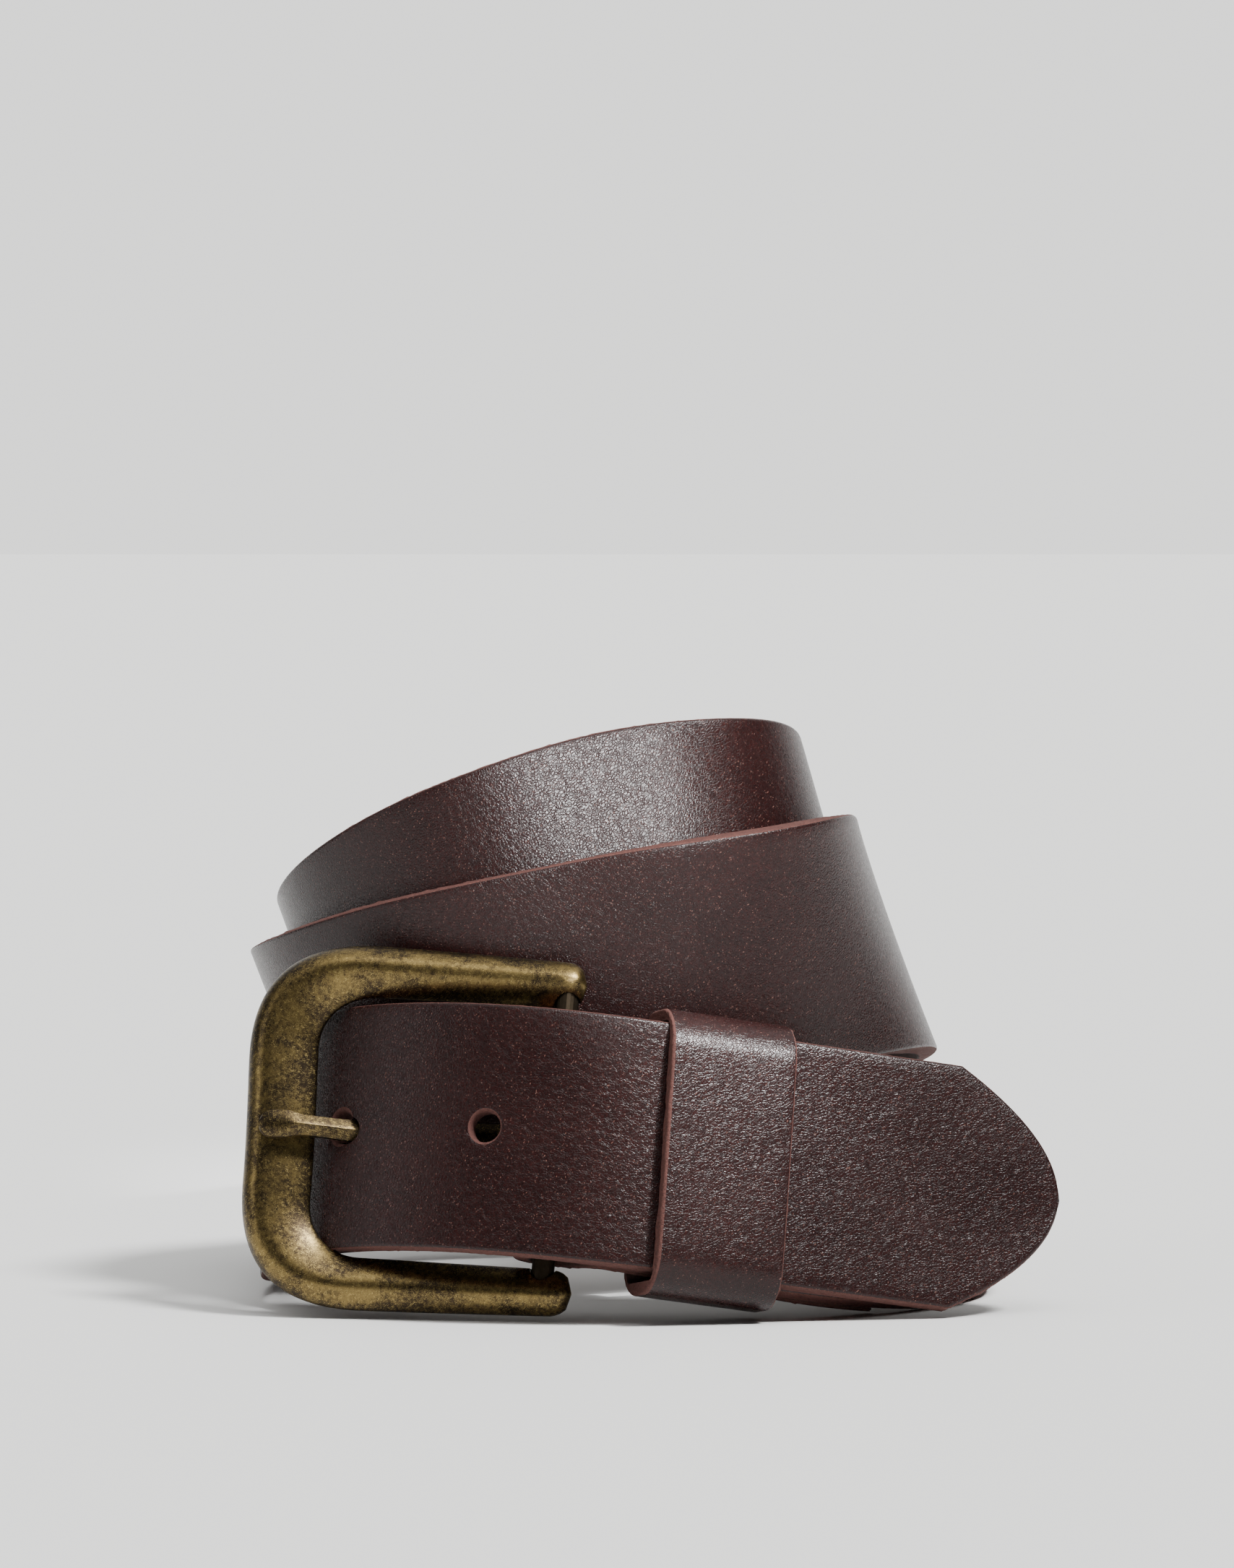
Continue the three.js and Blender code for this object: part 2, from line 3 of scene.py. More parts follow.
import bmesh
import bpy
import numpy as np
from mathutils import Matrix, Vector


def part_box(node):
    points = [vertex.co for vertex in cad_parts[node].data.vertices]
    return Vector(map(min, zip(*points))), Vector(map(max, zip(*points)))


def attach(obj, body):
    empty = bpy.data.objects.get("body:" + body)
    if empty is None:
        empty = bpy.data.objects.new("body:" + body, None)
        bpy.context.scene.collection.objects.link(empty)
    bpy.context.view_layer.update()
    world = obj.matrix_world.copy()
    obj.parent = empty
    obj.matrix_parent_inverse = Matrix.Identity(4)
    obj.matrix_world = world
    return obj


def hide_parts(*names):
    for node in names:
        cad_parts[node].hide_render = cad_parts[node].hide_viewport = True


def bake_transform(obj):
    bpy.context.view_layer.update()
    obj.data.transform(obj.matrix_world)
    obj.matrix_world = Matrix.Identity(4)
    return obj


# Looks of a coiled leather belt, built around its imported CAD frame.
# Lengths are in millimetres, in the winding's own frame, and place() turns them into metres in the
# row frame. A frame is a point p, or one for each row, with axes t (along the strap), n (out of its
# grain side) and w (up across its width).
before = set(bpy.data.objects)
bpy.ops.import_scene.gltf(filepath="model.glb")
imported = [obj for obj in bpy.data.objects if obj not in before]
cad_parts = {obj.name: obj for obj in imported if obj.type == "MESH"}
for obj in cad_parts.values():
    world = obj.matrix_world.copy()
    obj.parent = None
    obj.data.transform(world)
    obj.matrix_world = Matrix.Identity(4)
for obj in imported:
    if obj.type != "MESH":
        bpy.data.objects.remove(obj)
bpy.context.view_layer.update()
MM = 0.001
SEED = 11

# ---------- driving dimensions, as in the CAD ----------
STRAP_WIDTH = 38.0
STRAP_THICKNESS = 3.4
SKIVED_THICKNESS = 1.6
FLAP_END_THICKNESS = 1.1
CLEARANCE = 0.35

# How the strap winds: [turn, radius from the axis, height, lean inwards (deg)].
WINDING = np.array([
    [-0.1, 54.7, 21.7, 18],
    [-0.04, 56.5, 25.4, 15],
    [0.03, 56.4, 28.4, 15],
    [0.12, 55.3, 27.4, 14],
    [0.25, 51.5, 19.3, -3],
    [0.5, 63.3, 34.6, 2.5],
    [0.75, 45, 55, 17],
    [0.875, 40, 54.5, -4.5],
    [1, 33.8, 49.6, -1],
    [1.125, 39.5, 43.4, -9.5],
    [1.25, 46, 35.9, -21],
    [1.5, 48.1, 45.6, 3.5],
    [1.75, 35.9, 68.4, 17.5],
    [1.875, 30.6, 71.2, 14],
    [2, 26.6, 68.2, 10],
    [2.125, 34.8, 58.9, -1],
    [2.25, 42.5, 44.3, -17],
    [2.5, 43, 31, 4],
    [2.75, 51.2, 16.6, 34],
    [2.875, 54.2, 18.7, 20],
    [2.96, 51.9, 24.6, 15],
    [3.03, 51.8, 28.2, 15],
])
FREE_END_TURN = -0.04
HEEL_TURN = 3.019

HINGE_REACH = 21.5
FREE_END_LENGTH = 38.5
TIP_TAPER = 17.0
SPLIT_REACH = 4.0

HOLE_PITCH = 25.4
BUCKLED_HOLE_TURN = 0.118
HOLE_PLACES = (-1, 0, 1, 2, 3)

BAR_RADIUS = 1.75
BAR_SKEW = 4.1
FOLD_GAP = 0.5
FOLD_STRAIGHT = 2.0
FOLD_CLOSED = 10.0
FLAP_LENGTH = 52.0
SKEW_RUN = 18.0

FRAME_DEPTH = 5.6
FRAME_REACH = 42.8
FRAME_YAW = 5.9
FRAME_FRONT_HEIGHT = 56.6
FRAME_HEEL_HEIGHT = 53.6
FRONT_BAR_WIDTH = 10.0
FRAME_CORNER = 19.0
CORNER_SOFTNESS = 0.33
ARM_INSIDE = 20.2
ARM_END_UPPER = 2.8
ARM_END_LOWER = 4.7

PRONG_WIDTH = 3.7
PRONG_THICKNESS = 2.6
PRONG_EYE_RADIUS = 3.9
PRONG_EYE_WIDTH = 4.6
PRONG_LENGTH = 45.0
PRONG_SWAY = 1.2
PRONG_BORE_FROM = 19.0
PRONG_BORE_TO = 38.0
SLOT_WIDTH = 5.6
SLOT_LENGTH = 17.0

KEEPER_WIDTH = 20.0
KEEPER_THICKNESS = 2.0
KEEPER_CENTRE = 5.3
KEEPER_DROP = 1.9
KEEPER_RISE = 0.5
KEEPER_SHEAR = 1.4
KEEPER_DEPTH = 12.8
STAPLE_SPAN = 9.0
STAPLE_RADIUS = 0.5
STAPLE_LEG = 0.5
STAPLE_DROP = 3.0

SCREW_STATION = 46.0
SCREW_SPREAD = 9.5
SCREW_HEAD_RADIUS = 4.0
SCREW_HEAD_THICKNESS = 0.9
SCREW_RECESS = 0.5
POST_RADIUS = 2.2
SHANK_RADIUS = 1.3

# ---------- dimensions that differ a little from the CAD ----------
HOLE_BORE = 2.35
HOLE_LIP = 0.7
PRONG_BEND_FROM = 29.3
PRONG_BEND_TO = 40.2
PRONG_LIFT = 0.9

HALF_WIDTH = STRAP_WIDTH / 2
HALF_THICKNESS = STRAP_THICKNESS / 2

GRAIN, RAW_EDGE, FLESH = range(3)


# ---------- frames along the strap ----------
def unit(v):
    return v / np.linalg.norm(v, axis=-1, keepdims=True)


def smoothstep(x, low, high):
    s = np.clip((x - low) / (high - low), 0, 1)
    return s * s * (3 - 2 * s)


class Frames:
    """A frame, or a row of them, as arrays p, t, n and w."""

    def __init__(self, p, t, n, w):
        self.p, self.t, self.n, self.w = p, t, n, w

    def at(self, along=0.0, out=0.0, across=0.0):
        parts = ((along, self.t), (out, self.n), (across, self.w))
        return self.p + sum(np.asarray(amount)[..., None] * axis for amount, axis in parts)

    def moved(self, along=0.0, out=0.0, across=0.0):
        return Frames(self.at(along, out, across), self.t, self.n, self.w)

    def turned(self, angle):
        """Turned by angle, in radians, about the grain side's normal."""
        c, s = np.cos(angle)[..., None], np.sin(angle)[..., None]
        t = self.t * c + np.cross(self.n, self.t) * s
        w = self.w * c + np.cross(self.n, self.w) * s
        return Frames(self.p, t, self.n, w)

    def one(self, i=0):
        return Frames(self.p[i], self.t[i], self.n[i], self.w[i])


def join_frames(rows):
    return Frames(*(np.concatenate([getattr(f, k) for f in rows]) for k in "ptnw"))


def natural_spline(column):
    x, y = WINDING[:, 0], WINDING[:, column]
    gap = np.diff(x)
    rows = np.eye(len(x))
    kinks = np.zeros(len(x))
    for i in range(1, len(x) - 1):
        rows[i, i - 1:i + 2] = gap[i - 1], 2 * (gap[i - 1] + gap[i]), gap[i]
        kinks[i] = 6 * ((y[i + 1] - y[i]) / gap[i] - (y[i] - y[i - 1]) / gap[i - 1])
    bend = np.linalg.solve(rows, kinks)

    def value(turn):
        i = np.clip(np.searchsorted(x, turn) - 1, 0, len(x) - 2)
        a = (x[i + 1] - turn) / gap[i]
        b = (turn - x[i]) / gap[i]
        curve = ((a**3 - a) * bend[i] + (b**3 - b) * bend[i + 1]) * gap[i] ** 2 / 6
        return a * y[i] + b * y[i + 1] + curve

    return value


radius_at, height_at, lean_at = (natural_spline(column) for column in (1, 2, 3))


def centre_at(turn):
    angle = 2 * np.pi * turn
    radius = radius_at(turn)
    return np.stack([-radius * np.sin(angle), -radius * np.cos(angle), height_at(turn)], -1)


def strap_frames(turns):
    turns = np.atleast_1d(turns)
    step = 1e-4
    p = centre_at(turns)
    t = unit(centre_at(turns + step) - centre_at(turns - step))
    outward = unit(np.stack([t[:, 1], -t[:, 0], 0 * turns], -1))
    outward *= np.sign((outward * p * (1, 1, 0)).sum(1))[:, None]
    w = np.array([0, 0, 1]) - outward * np.tan(np.radians(lean_at(turns)))[:, None]
    w = unit(w - t * (w * t).sum(1)[:, None])
    n = np.cross(t, w)
    n *= np.sign((n * outward).sum(1))[:, None]
    return Frames(p, t, n, w)


LENGTH_TURNS = np.linspace(WINDING[0, 0], WINDING[-1, 0], 20001)
LENGTH_STEPS = np.linalg.norm(np.diff(centre_at(LENGTH_TURNS), axis=0), axis=1)
LENGTHS = np.concatenate([[0], np.cumsum(LENGTH_STEPS)])


def length_at(turn):
    return np.interp(turn, LENGTH_TURNS, LENGTHS)


def turn_after(turn, length):
    """The turn that lies a given length further along the strap."""
    return np.interp(length_at(turn) + length, LENGTHS, LENGTH_TURNS)


free_end = strap_frames(FREE_END_TURN).one()
heel = strap_frames(HEEL_TURN).one()


def free_end_frames(reach):
    reach = np.atleast_1d(reach)
    row = [np.broadcast_to(getattr(free_end, k), (len(reach), 3)) for k in "ptnw"]
    return Frames(*row).moved(along=-reach)


BAR_DEPTH = HALF_THICKNESS + FOLD_GAP + BAR_RADIUS
bar = heel.moved(out=-BAR_DEPTH).turned(np.radians(BAR_SKEW))

yaw = math.radians(FRAME_YAW)
buckle_t = bar.t * math.cos(yaw) - bar.n * math.sin(yaw)
buckle_n = np.cross(bar.w, buckle_t)
buckle = Frames(bar.p, buckle_t, buckle_n * np.sign(buckle_n @ bar.n), bar.w)
keeper_frame = free_end_frames(KEEPER_CENTRE).one()

# The winding's own frame lies a little aside from the row frame: the heel bar says by how much.
bar_low, bar_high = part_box("buckle_bar")
OFFSET = np.array((bar_low + bar_high) / 2) - bar.p * MM


def place(points):
    return np.asarray(points) * MM + OFFSET


# ---------- meshes ----------
def new_piece(name, points, faces, kinds=None, smooth=True):
    """An object from points in the winding's frame, with its faces turned outwards."""
    mesh = bpy.data.meshes.new(name)
    mesh.from_pydata(place(points).tolist(), [], [list(map(int, f)) for f in faces])
    if kinds is not None:
        mesh.polygons.foreach_set("material_index", np.asarray(kinds, dtype=np.int32))
    shell = bmesh.new()
    shell.from_mesh(mesh)
    bmesh.ops.recalc_face_normals(shell, faces=shell.faces)
    shell.to_mesh(mesh)
    shell.free()
    if smooth:
        mesh.shade_smooth()
    piece = bpy.data.objects.new(name, mesh)
    bpy.context.scene.collection.objects.link(piece)
    return piece


def sweep(name, rings, side_kinds=None, cap_kind=0, closed=False):
    """A skin over rings of points, (stations, points round, 3). Open sweeps are capped."""
    stations, count = rings.shape[:2]
    spans = stations if closed else stations - 1
    i, j = np.meshgrid(np.arange(spans), np.arange(count), indexing="ij")
    a, b = i * count + j, i * count + (j + 1) % count
    after = ((i + 1) % stations - i) * count
    faces = np.stack([a, b, b + after, a + after], -1).reshape(-1, 4).tolist()
    kinds = [0] * len(faces) if side_kinds is None else list(np.tile(side_kinds, spans))
    if not closed:
        last = (stations - 1) * count
        faces += [list(range(count)), list(range(last, last + count))]
        kinds += [cap_kind] * 2
    return new_piece(name, rings.reshape(-1, 3), faces, kinds)


def sharpen(piece, degrees):
    piece.data.set_sharp_from_angle(angle=math.radians(degrees))


def carve(piece, cutters, operation="DIFFERENCE"):
    """Cuts or joins, and removes the cutters."""
    for cutter in cutters:
        step = piece.modifiers.new("carve", "BOOLEAN")
        step.operation = operation
        step.solver = "MANIFOLD"
        step.object = cutter
    shaped = piece.evaluated_get(bpy.context.evaluated_depsgraph_get())
    mesh = bpy.data.meshes.new_from_object(shaped)
    piece.modifiers.clear()
    piece.data = mesh
    for cutter in cutters:
        bpy.data.objects.remove(cutter)


def lathe(name, f, profile, kind=0, sides=48):
    """A solid of revolution about the frame's n axis, from (radius, out) pairs that start and end on it."""
    angle = np.linspace(0, 2 * np.pi, sides, endpoint=False)
    points = [f.at(out=profile[0][1]), f.at(out=profile[-1][1])]
    rings = profile[1:-1]
    for radius, out in rings:
        points.extend(f.at(radius * np.cos(angle), np.full(sides, out), radius * np.sin(angle)))
    faces = []
    for k in range(sides):
        after = (k + 1) % sides
        for ring in range(len(rings) - 1):
            low, high = 2 + ring * sides, 2 + (ring + 1) * sides
            faces.append([low + k, low + after, high + after, high + k])
        top = 2 + (len(rings) - 1) * sides
        faces.append([0, 2 + after, 2 + k])
        faces.append([1, top + k, top + after])
    return new_piece(name, np.array(points), faces, [kind] * len(faces))


def tube(name, path, radius, sides=16):
    """A round bar along a path of points, with domed ends."""
    path = np.asarray(path)
    t = unit(np.gradient(path, axis=0))
    side = unit(np.cross(t, np.roll(t[0], 1) + 0.3))
    up = np.cross(t, side)
    angle = np.linspace(0, 2 * np.pi, sides, endpoint=False)
    rings = [(0, 0.55, -0.3), (0, 0.85, -0.16)]
    rings += [(i, 1, 0) for i in range(len(path))]
    rings += [(len(path) - 1, 0.85, 0.16), (len(path) - 1, 0.55, 0.3)]
    rows = []
    for i, shrink, ahead in rings:
        spoke = np.cos(angle)[:, None] * side[i] + np.sin(angle)[:, None] * up[i]
        rows.append(path[i] + t[i] * ahead * radius + spoke * radius * shrink)
    return sweep(name, np.array(rows))


# ---------- the strap ----------
GRAIN_ROUND = 0.6
FLESH_ROUND = 0.35
GRAIN_SPANS = 22
FLESH_SPANS = 12
EDGE_SPANS = 5
STATION = 0.7
FUZZ = 0.07
WAVE = 0.1
FLEX_HALF = 6

rng = np.random.default_rng(SEED)


def strap_rings(f, half_width, thickness, steep=0.0):
    """The strap's section round each frame: a flat grain face, soft corners and nearly square edges.
    steep is how fast the width changes along the strap, so that the tip's corners stay round."""
    count = len(f.p)
    half_width = np.broadcast_to(half_width, count).astype(float)
    half = np.broadcast_to(thickness, count) / 2
    grain = np.minimum(GRAIN_ROUND, half * 0.6)
    flesh = np.minimum(FLESH_ROUND, half * 0.4)
    widen = np.sqrt(1 + np.broadcast_to(steep, count) ** 2)
    grain_in = np.minimum(grain * widen, half_width * 0.9)
    flesh_in = np.minimum(flesh * widen, half_width * 0.9)
    walk = length_along(f)
    across, out, kinds = [], [], []

    def add(x, y, kind):
        across.append(x)
        out.append(y)
        kinds.append(kind)

    def corner(side, face, start, inwards, depth, first, last):
        for k in range(1, 4):
            angle = math.radians(start + k * 22.5)
            x = side * (half_width - inwards) + inwards * math.cos(angle)
            y = face * (half - depth) + depth * math.sin(angle)
            add(x, y, first if k < 2 else last)

    def edge(side, up):
        ends = (half - grain, flesh - half)
        low, high = (ends[1], ends[0]) if up else ends
        for k in range(EDGE_SPANS + 1):
            fray = FUZZ * rng.standard_normal(count) * (0.3 if k in (0, EDGE_SPANS) else 1)
            x = side * (half_width + np.minimum(fray, half_width * 0.2))
            add(x, low + (high - low) * k / EDGE_SPANS, RAW_EDGE)

    def face(side, inwards, depth, spans, kind):
        for k in range(spans + 1):
            share = side * (1 - 2 * k / spans)
            x = share * (half_width - inwards)
            sag = WAVE * np.sin(walk / 17 + 2.1 * share) * np.cos(walk / 41 + 1.3) * (1 - share**4)
            add(x, side * half + sag * (half > 1), kind)

    face(1, grain_in, grain, GRAIN_SPANS, GRAIN)
    corner(-1, 1, 90, grain_in, grain, GRAIN, RAW_EDGE)
    edge(-1, False)
    corner(-1, -1, 180, flesh_in, flesh, RAW_EDGE, FLESH)
    face(-1, flesh_in, flesh, FLESH_SPANS, FLESH)
    corner(1, -1, 270, flesh_in, flesh, FLESH, RAW_EDGE)
    edge(1, True)
    corner(1, 1, 0, grain_in, grain, RAW_EDGE, GRAIN)
    points = [f.at(out=y, across=x) for x, y in zip(across, out)]
    return np.stack(points, 1), kinds


def length_along(f):
    return np.concatenate([[0], np.cumsum(np.linalg.norm(np.diff(f.p, axis=0), axis=1))])


def wound_frames():
    """From the split under the keeper, three times round, to the heel bar."""
    start = free_end_frames(np.arange(SPLIT_REACH, STATION / 2, -STATION))
    total = length_at(HEEL_TURN) - length_at(FREE_END_TURN)
    lengths = np.linspace(0, total, int(total / STATION))
    wound = strap_frames(turn_after(FREE_END_TURN, lengths))
    skew = np.radians(BAR_SKEW) * smoothstep(lengths, total - SKEW_RUN, total)
    return join_frames([start, wound.turned(skew)])


def fold_frames():
    """Half a turn round the heel bar, thinning as it goes."""
    share = np.linspace(0, 1, 27)[1:, None]
    angle = np.pi * share
    thickness = STRAP_THICKNESS + (SKIVED_THICKNESS - STRAP_THICKNESS) * share
    n = bar.n * np.cos(angle) + bar.t * np.sin(angle)
    p = bar.p + n * (BAR_RADIUS + FOLD_GAP + thickness / 2)
    t = bar.t * np.cos(angle) - bar.n * np.sin(angle)
    return Frames(p, t, n, np.broadcast_to(bar.w, p.shape)), thickness[:, 0]


def flap_frames():
    """The skived end, back along the inside of the strap."""
    length = np.linspace(0, FLAP_LENGTH, int(FLAP_LENGTH / STATION))[1:]
    f = strap_frames(turn_after(HEEL_TURN, -length))
    f = f.turned(np.radians(BAR_SKEW) * (1 - smoothstep(length, 0, SKEW_RUN)))
    open_gap = HALF_THICKNESS + 2 * (FOLD_GAP + BAR_RADIUS) + SKIVED_THICKNESS / 2
    shut = HALF_THICKNESS + CLEARANCE + SKIVED_THICKNESS / 2
    offset = open_gap + (shut - open_gap) * smoothstep(length, FOLD_STRAIGHT, FOLD_CLOSED)
    thin = smoothstep(length, FLAP_LENGTH - 10, FLAP_LENGTH)
    thickness = SKIVED_THICKNESS + (FLAP_END_THICKNESS - SKIVED_THICKNESS) * thin
    return Frames(f.at(out=-offset), f.t, -f.n, f.w), thickness


def hole_cutter(turn):
    f = strap_frames(turn).one()
    lip = [(HOLE_BORE + HOLE_LIP * (1 - math.cos(a)), HALF_THICKNESS - HOLE_LIP * (1 - math.sin(a)))
           for a in np.linspace(0, np.pi / 2, 7)]
    wide = HOLE_BORE + HOLE_LIP
    profile = [(0, -4), (HOLE_BORE + 0.35, -4), (HOLE_BORE + 0.35, -HALF_THICKNESS), (HOLE_BORE, -1.1)]
    profile += lip + [(wide + 0.7, HALF_THICKNESS + 0.35), (wide + 0.7, 3), (0, 3)]
    return lathe("hole_cutter", f, profile, RAW_EDGE)


def prong_out(along):
    """How far the prong's centre line stands out of the bar's axis: it stays low behind the strap,
    then rises through the hole on to the front bar."""
    rest = FRAME_DEPTH / 2 + CLEARANCE + PRONG_THICKNESS / 2
    return rest * smoothstep(along, PRONG_BEND_FROM, PRONG_BEND_TO)


def prong_frames(along):
    slope = (prong_out(along + 0.1) - prong_out(along - 0.1)) / 0.2
    t = unit(buckle.t + slope[:, None] * buckle.n)
    n = unit(buckle.n - slope[:, None] * buckle.t)
    p = buckle.at(along, prong_out(along), -PRONG_SWAY * along / PRONG_LENGTH)
    return Frames(p, t, n, np.broadcast_to(buckle.w, p.shape))


def prong_bore_cutter():
    """The buckled hole, pulled long by the prong."""
    sides = 28
    f = prong_frames(np.linspace(PRONG_BORE_FROM, PRONG_BORE_TO, 24))
    angle = np.linspace(0, 2 * np.pi, sides, endpoint=False)
    across = (PRONG_WIDTH / 2 + CLEARANCE) * np.cos(angle)
    out = (PRONG_THICKNESS / 2 + PRONG_LIFT) * np.sin(angle) + CLEARANCE
    rings = np.stack([f.at(out=o, across=a) for a, o in zip(across, out)], 1)
    return sweep("bore_cutter", rings, [GRAIN] * sides, GRAIN)


def outline_cutter(name, f, outline, low, high):
    """A flat (along, across) outline, as a prism from low to high along the frame's n."""
    rings = [[f.at(a, depth, b) for a, b in outline] for depth in (low, high)]
    return sweep(name, np.array(rings), [RAW_EDGE] * len(outline), RAW_EDGE)


def slot_cutter():
    """The round-ended slot through the fold, where the prong turns."""
    half = SLOT_WIDTH / 2
    reach = SLOT_LENGTH / 2 - half
    ends = [(1, a) for a in np.linspace(-90, 90, 13)] + [(-1, a) for a in np.linspace(90, 270, 13)]
    outline = [(side * reach - 0.5 + half * math.cos(math.radians(a)), half * math.sin(math.radians(a)))
               for side, a in ends]
    return outline_cutter("slot_cutter", heel, outline, -13.9, 2.1)


def screw_frame(side):
    return strap_frames(turn_after(HEEL_TURN, -SCREW_STATION)).one().moved(across=side * SCREW_SPREAD)


FLAP_SIDE = -HALF_THICKNESS - CLEARANCE - SKIVED_THICKNESS


def screw_cutters(side):
    f = screw_frame(side)
    bore, head = POST_RADIUS + CLEARANCE, SCREW_HEAD_RADIUS + CLEARANCE
    outer = HALF_THICKNESS - SCREW_RECESS
    inner = FLAP_SIDE + SCREW_RECESS
    profile = [(0, inner - 2), (head, inner - 2), (head, inner), (bore, inner)]
    profile += [(bore, outer), (head, outer), (head, outer + 2), (0, outer + 2)]
    return [lathe("screw_cutter", f, profile, RAW_EDGE)]


def wound_strap():
    wound = wound_frames()
    fold, fold_thickness = fold_frames()
    flap, flap_thickness = flap_frames()
    f = join_frames([wound, fold, flap])
    full = np.full(len(wound.p), STRAP_THICKNESS)
    thickness = np.concatenate([full, fold_thickness, flap_thickness])
    rings, kinds = strap_rings(f, HALF_WIDTH, thickness)
    piece = sweep("wound_strap", rings, kinds, RAW_EDGE)
    cutters = [hole_cutter(turn_after(BUCKLED_HOLE_TURN, k * HOLE_PITCH)) for k in HOLE_PLACES]
    cutters += [prong_bore_cutter(), slot_cutter(), *screw_cutters(-1), *screw_cutters(1)]
    carve(piece, cutters)
    sharpen(piece, 50)
    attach(piece, "strap")
    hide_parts("strap")
    return piece


def strap_end():
    """The free end, with its parabola tip."""
    plain = HINGE_REACH + FREE_END_LENGTH - TIP_TAPER
    straight = np.arange(SPLIT_REACH, plain, STATION)
    k = np.linspace(0, 1, 90)
    share = k * (2 - k)
    reach = np.concatenate([straight, plain + TIP_TAPER * share])
    left = np.concatenate([np.ones(len(straight)), 1 - share])
    half_width = HALF_WIDTH * np.sqrt(np.maximum(left, 1e-5))
    steep = np.where(left < 1, HALF_WIDTH**2 / (2 * TIP_TAPER * half_width), 0)
    rings, kinds = strap_rings(free_end_frames(reach), half_width, STRAP_THICKNESS, steep)
    piece = sweep("strap_end", rings, kinds, RAW_EDGE)
    sharpen(piece, 50)
    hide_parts("strap_tip")
    keeper_side = place(free_end_frames(HINGE_REACH - FLEX_HALF).one().p)
    tip_side = place(free_end_frames(HINGE_REACH + FLEX_HALF).one().p)
    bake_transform(piece)
    return piece


# ---------- the keeper ----------
KEEPER_TOP = HALF_WIDTH + KEEPER_RISE
KEEPER_BOTTOM = -HALF_WIDTH - KEEPER_DROP
KEEPER_FRONT = HALF_THICKNESS + CLEARANCE
KEEPER_BACK = KEEPER_FRONT - KEEPER_DEPTH
KEEPER_INNER_ROUND = 1.9
KEEPER_OUTER_ROUND = 6.4
KEEPER_CROWN = 0.35
KEEPER_EDGE_ROUND = 0.45


def keeper_path(grow, r):
    """A line round the loop in its (out, across) plane, a wall's thickness outside the opening, with
    corners of radius r."""
    front, back = KEEPER_FRONT + grow, KEEPER_BACK - grow
    top, bottom = KEEPER_TOP + grow, KEEPER_BOTTOM - grow
    corners = [(front - r, top - r, 0), (back + r, top - r, 90)]
    corners += [(back + r, bottom + r, 180), (front - r, bottom + r, 270)]
    points = []
    for i, (x, y, start) in enumerate(corners):
        for a in np.radians(np.linspace(start, start + 90, 12)):
            points.append((x + r * math.cos(a), y + r * math.sin(a)))
        x2, y2, _ = corners[(i + 1) % 4]
        a = math.radians(start + 90)
        n = np.array([math.cos(a), math.sin(a)])
        first, last = np.array([x, y]) + r * n, np.array([x2, y2]) + r * n
        spans = 24 if i in (1, 3) else 8
        points.extend(first + (last - first) * k / spans for k in range(1, spans))
    points = np.array(points)
    across = np.abs(2 * points[:, 1] - KEEPER_TOP - KEEPER_BOTTOM) / (KEEPER_TOP - KEEPER_BOTTOM)
    ahead = smoothstep(points[:, 0], KEEPER_FRONT - KEEPER_THICKNESS, KEEPER_FRONT)
    points[:, 0] += KEEPER_CROWN * ahead * np.clip(1 - across**3, 0, 1)
    points[:, 1] -= KEEPER_SHEAR / KEEPER_DEPTH * (points[:, 0] - KEEPER_FRONT)
    return points


def keeper_loop():
    inner = keeper_path(0, KEEPER_INNER_ROUND)
    wall = keeper_path(KEEPER_THICKNESS, KEEPER_OUTER_ROUND) - inner
    half, r = KEEPER_WIDTH / 2, KEEPER_EDGE_ROUND
    outline, kinds = [], []

    def add(depth, along, kind):
        outline.append((depth / KEEPER_THICKNESS, along))
        kinds.append(kind)

    arc = np.radians((90, 60, 30, 0))
    for k in range(15):
        add(KEEPER_THICKNESS, (half - r) * (1 - 2 * k / 14), GRAIN)
    for a in arc[1:]:
        add(KEEPER_THICKNESS - r + r * math.sin(a), -half + r - r * math.cos(a), RAW_EDGE)
    for k in range(1, 4):
        add((KEEPER_THICKNESS - r) * (1 - k / 4), -half, RAW_EDGE)
    for k in range(11):
        add(0, -half + 2 * half * k / 10, FLESH if k < 10 else RAW_EDGE)
    for k in range(1, 4):
        add((KEEPER_THICKNESS - r) * k / 4, half, RAW_EDGE)
    for a in arc[::-1][:-1]:
        add(KEEPER_THICKNESS - r + r * math.sin(a), half - r + r * math.cos(a), RAW_EDGE)
    depth, along = np.array(outline).T
    fray = FUZZ * rng.standard_normal((len(inner), len(outline))) * (np.abs(along) > half - 0.01)
    in_plane = inner[:, None, :] + wall[:, None, :] * depth[None, :, None]
    rings = keeper_frame.at(along[None, :] + fray, in_plane[..., 0], in_plane[..., 1])
    piece = sweep("keeper_band", rings, kinds, closed=True)
    sharpen(piece, 50)
    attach(piece, "keeper")
    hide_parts("keeper_loop")
    return piece


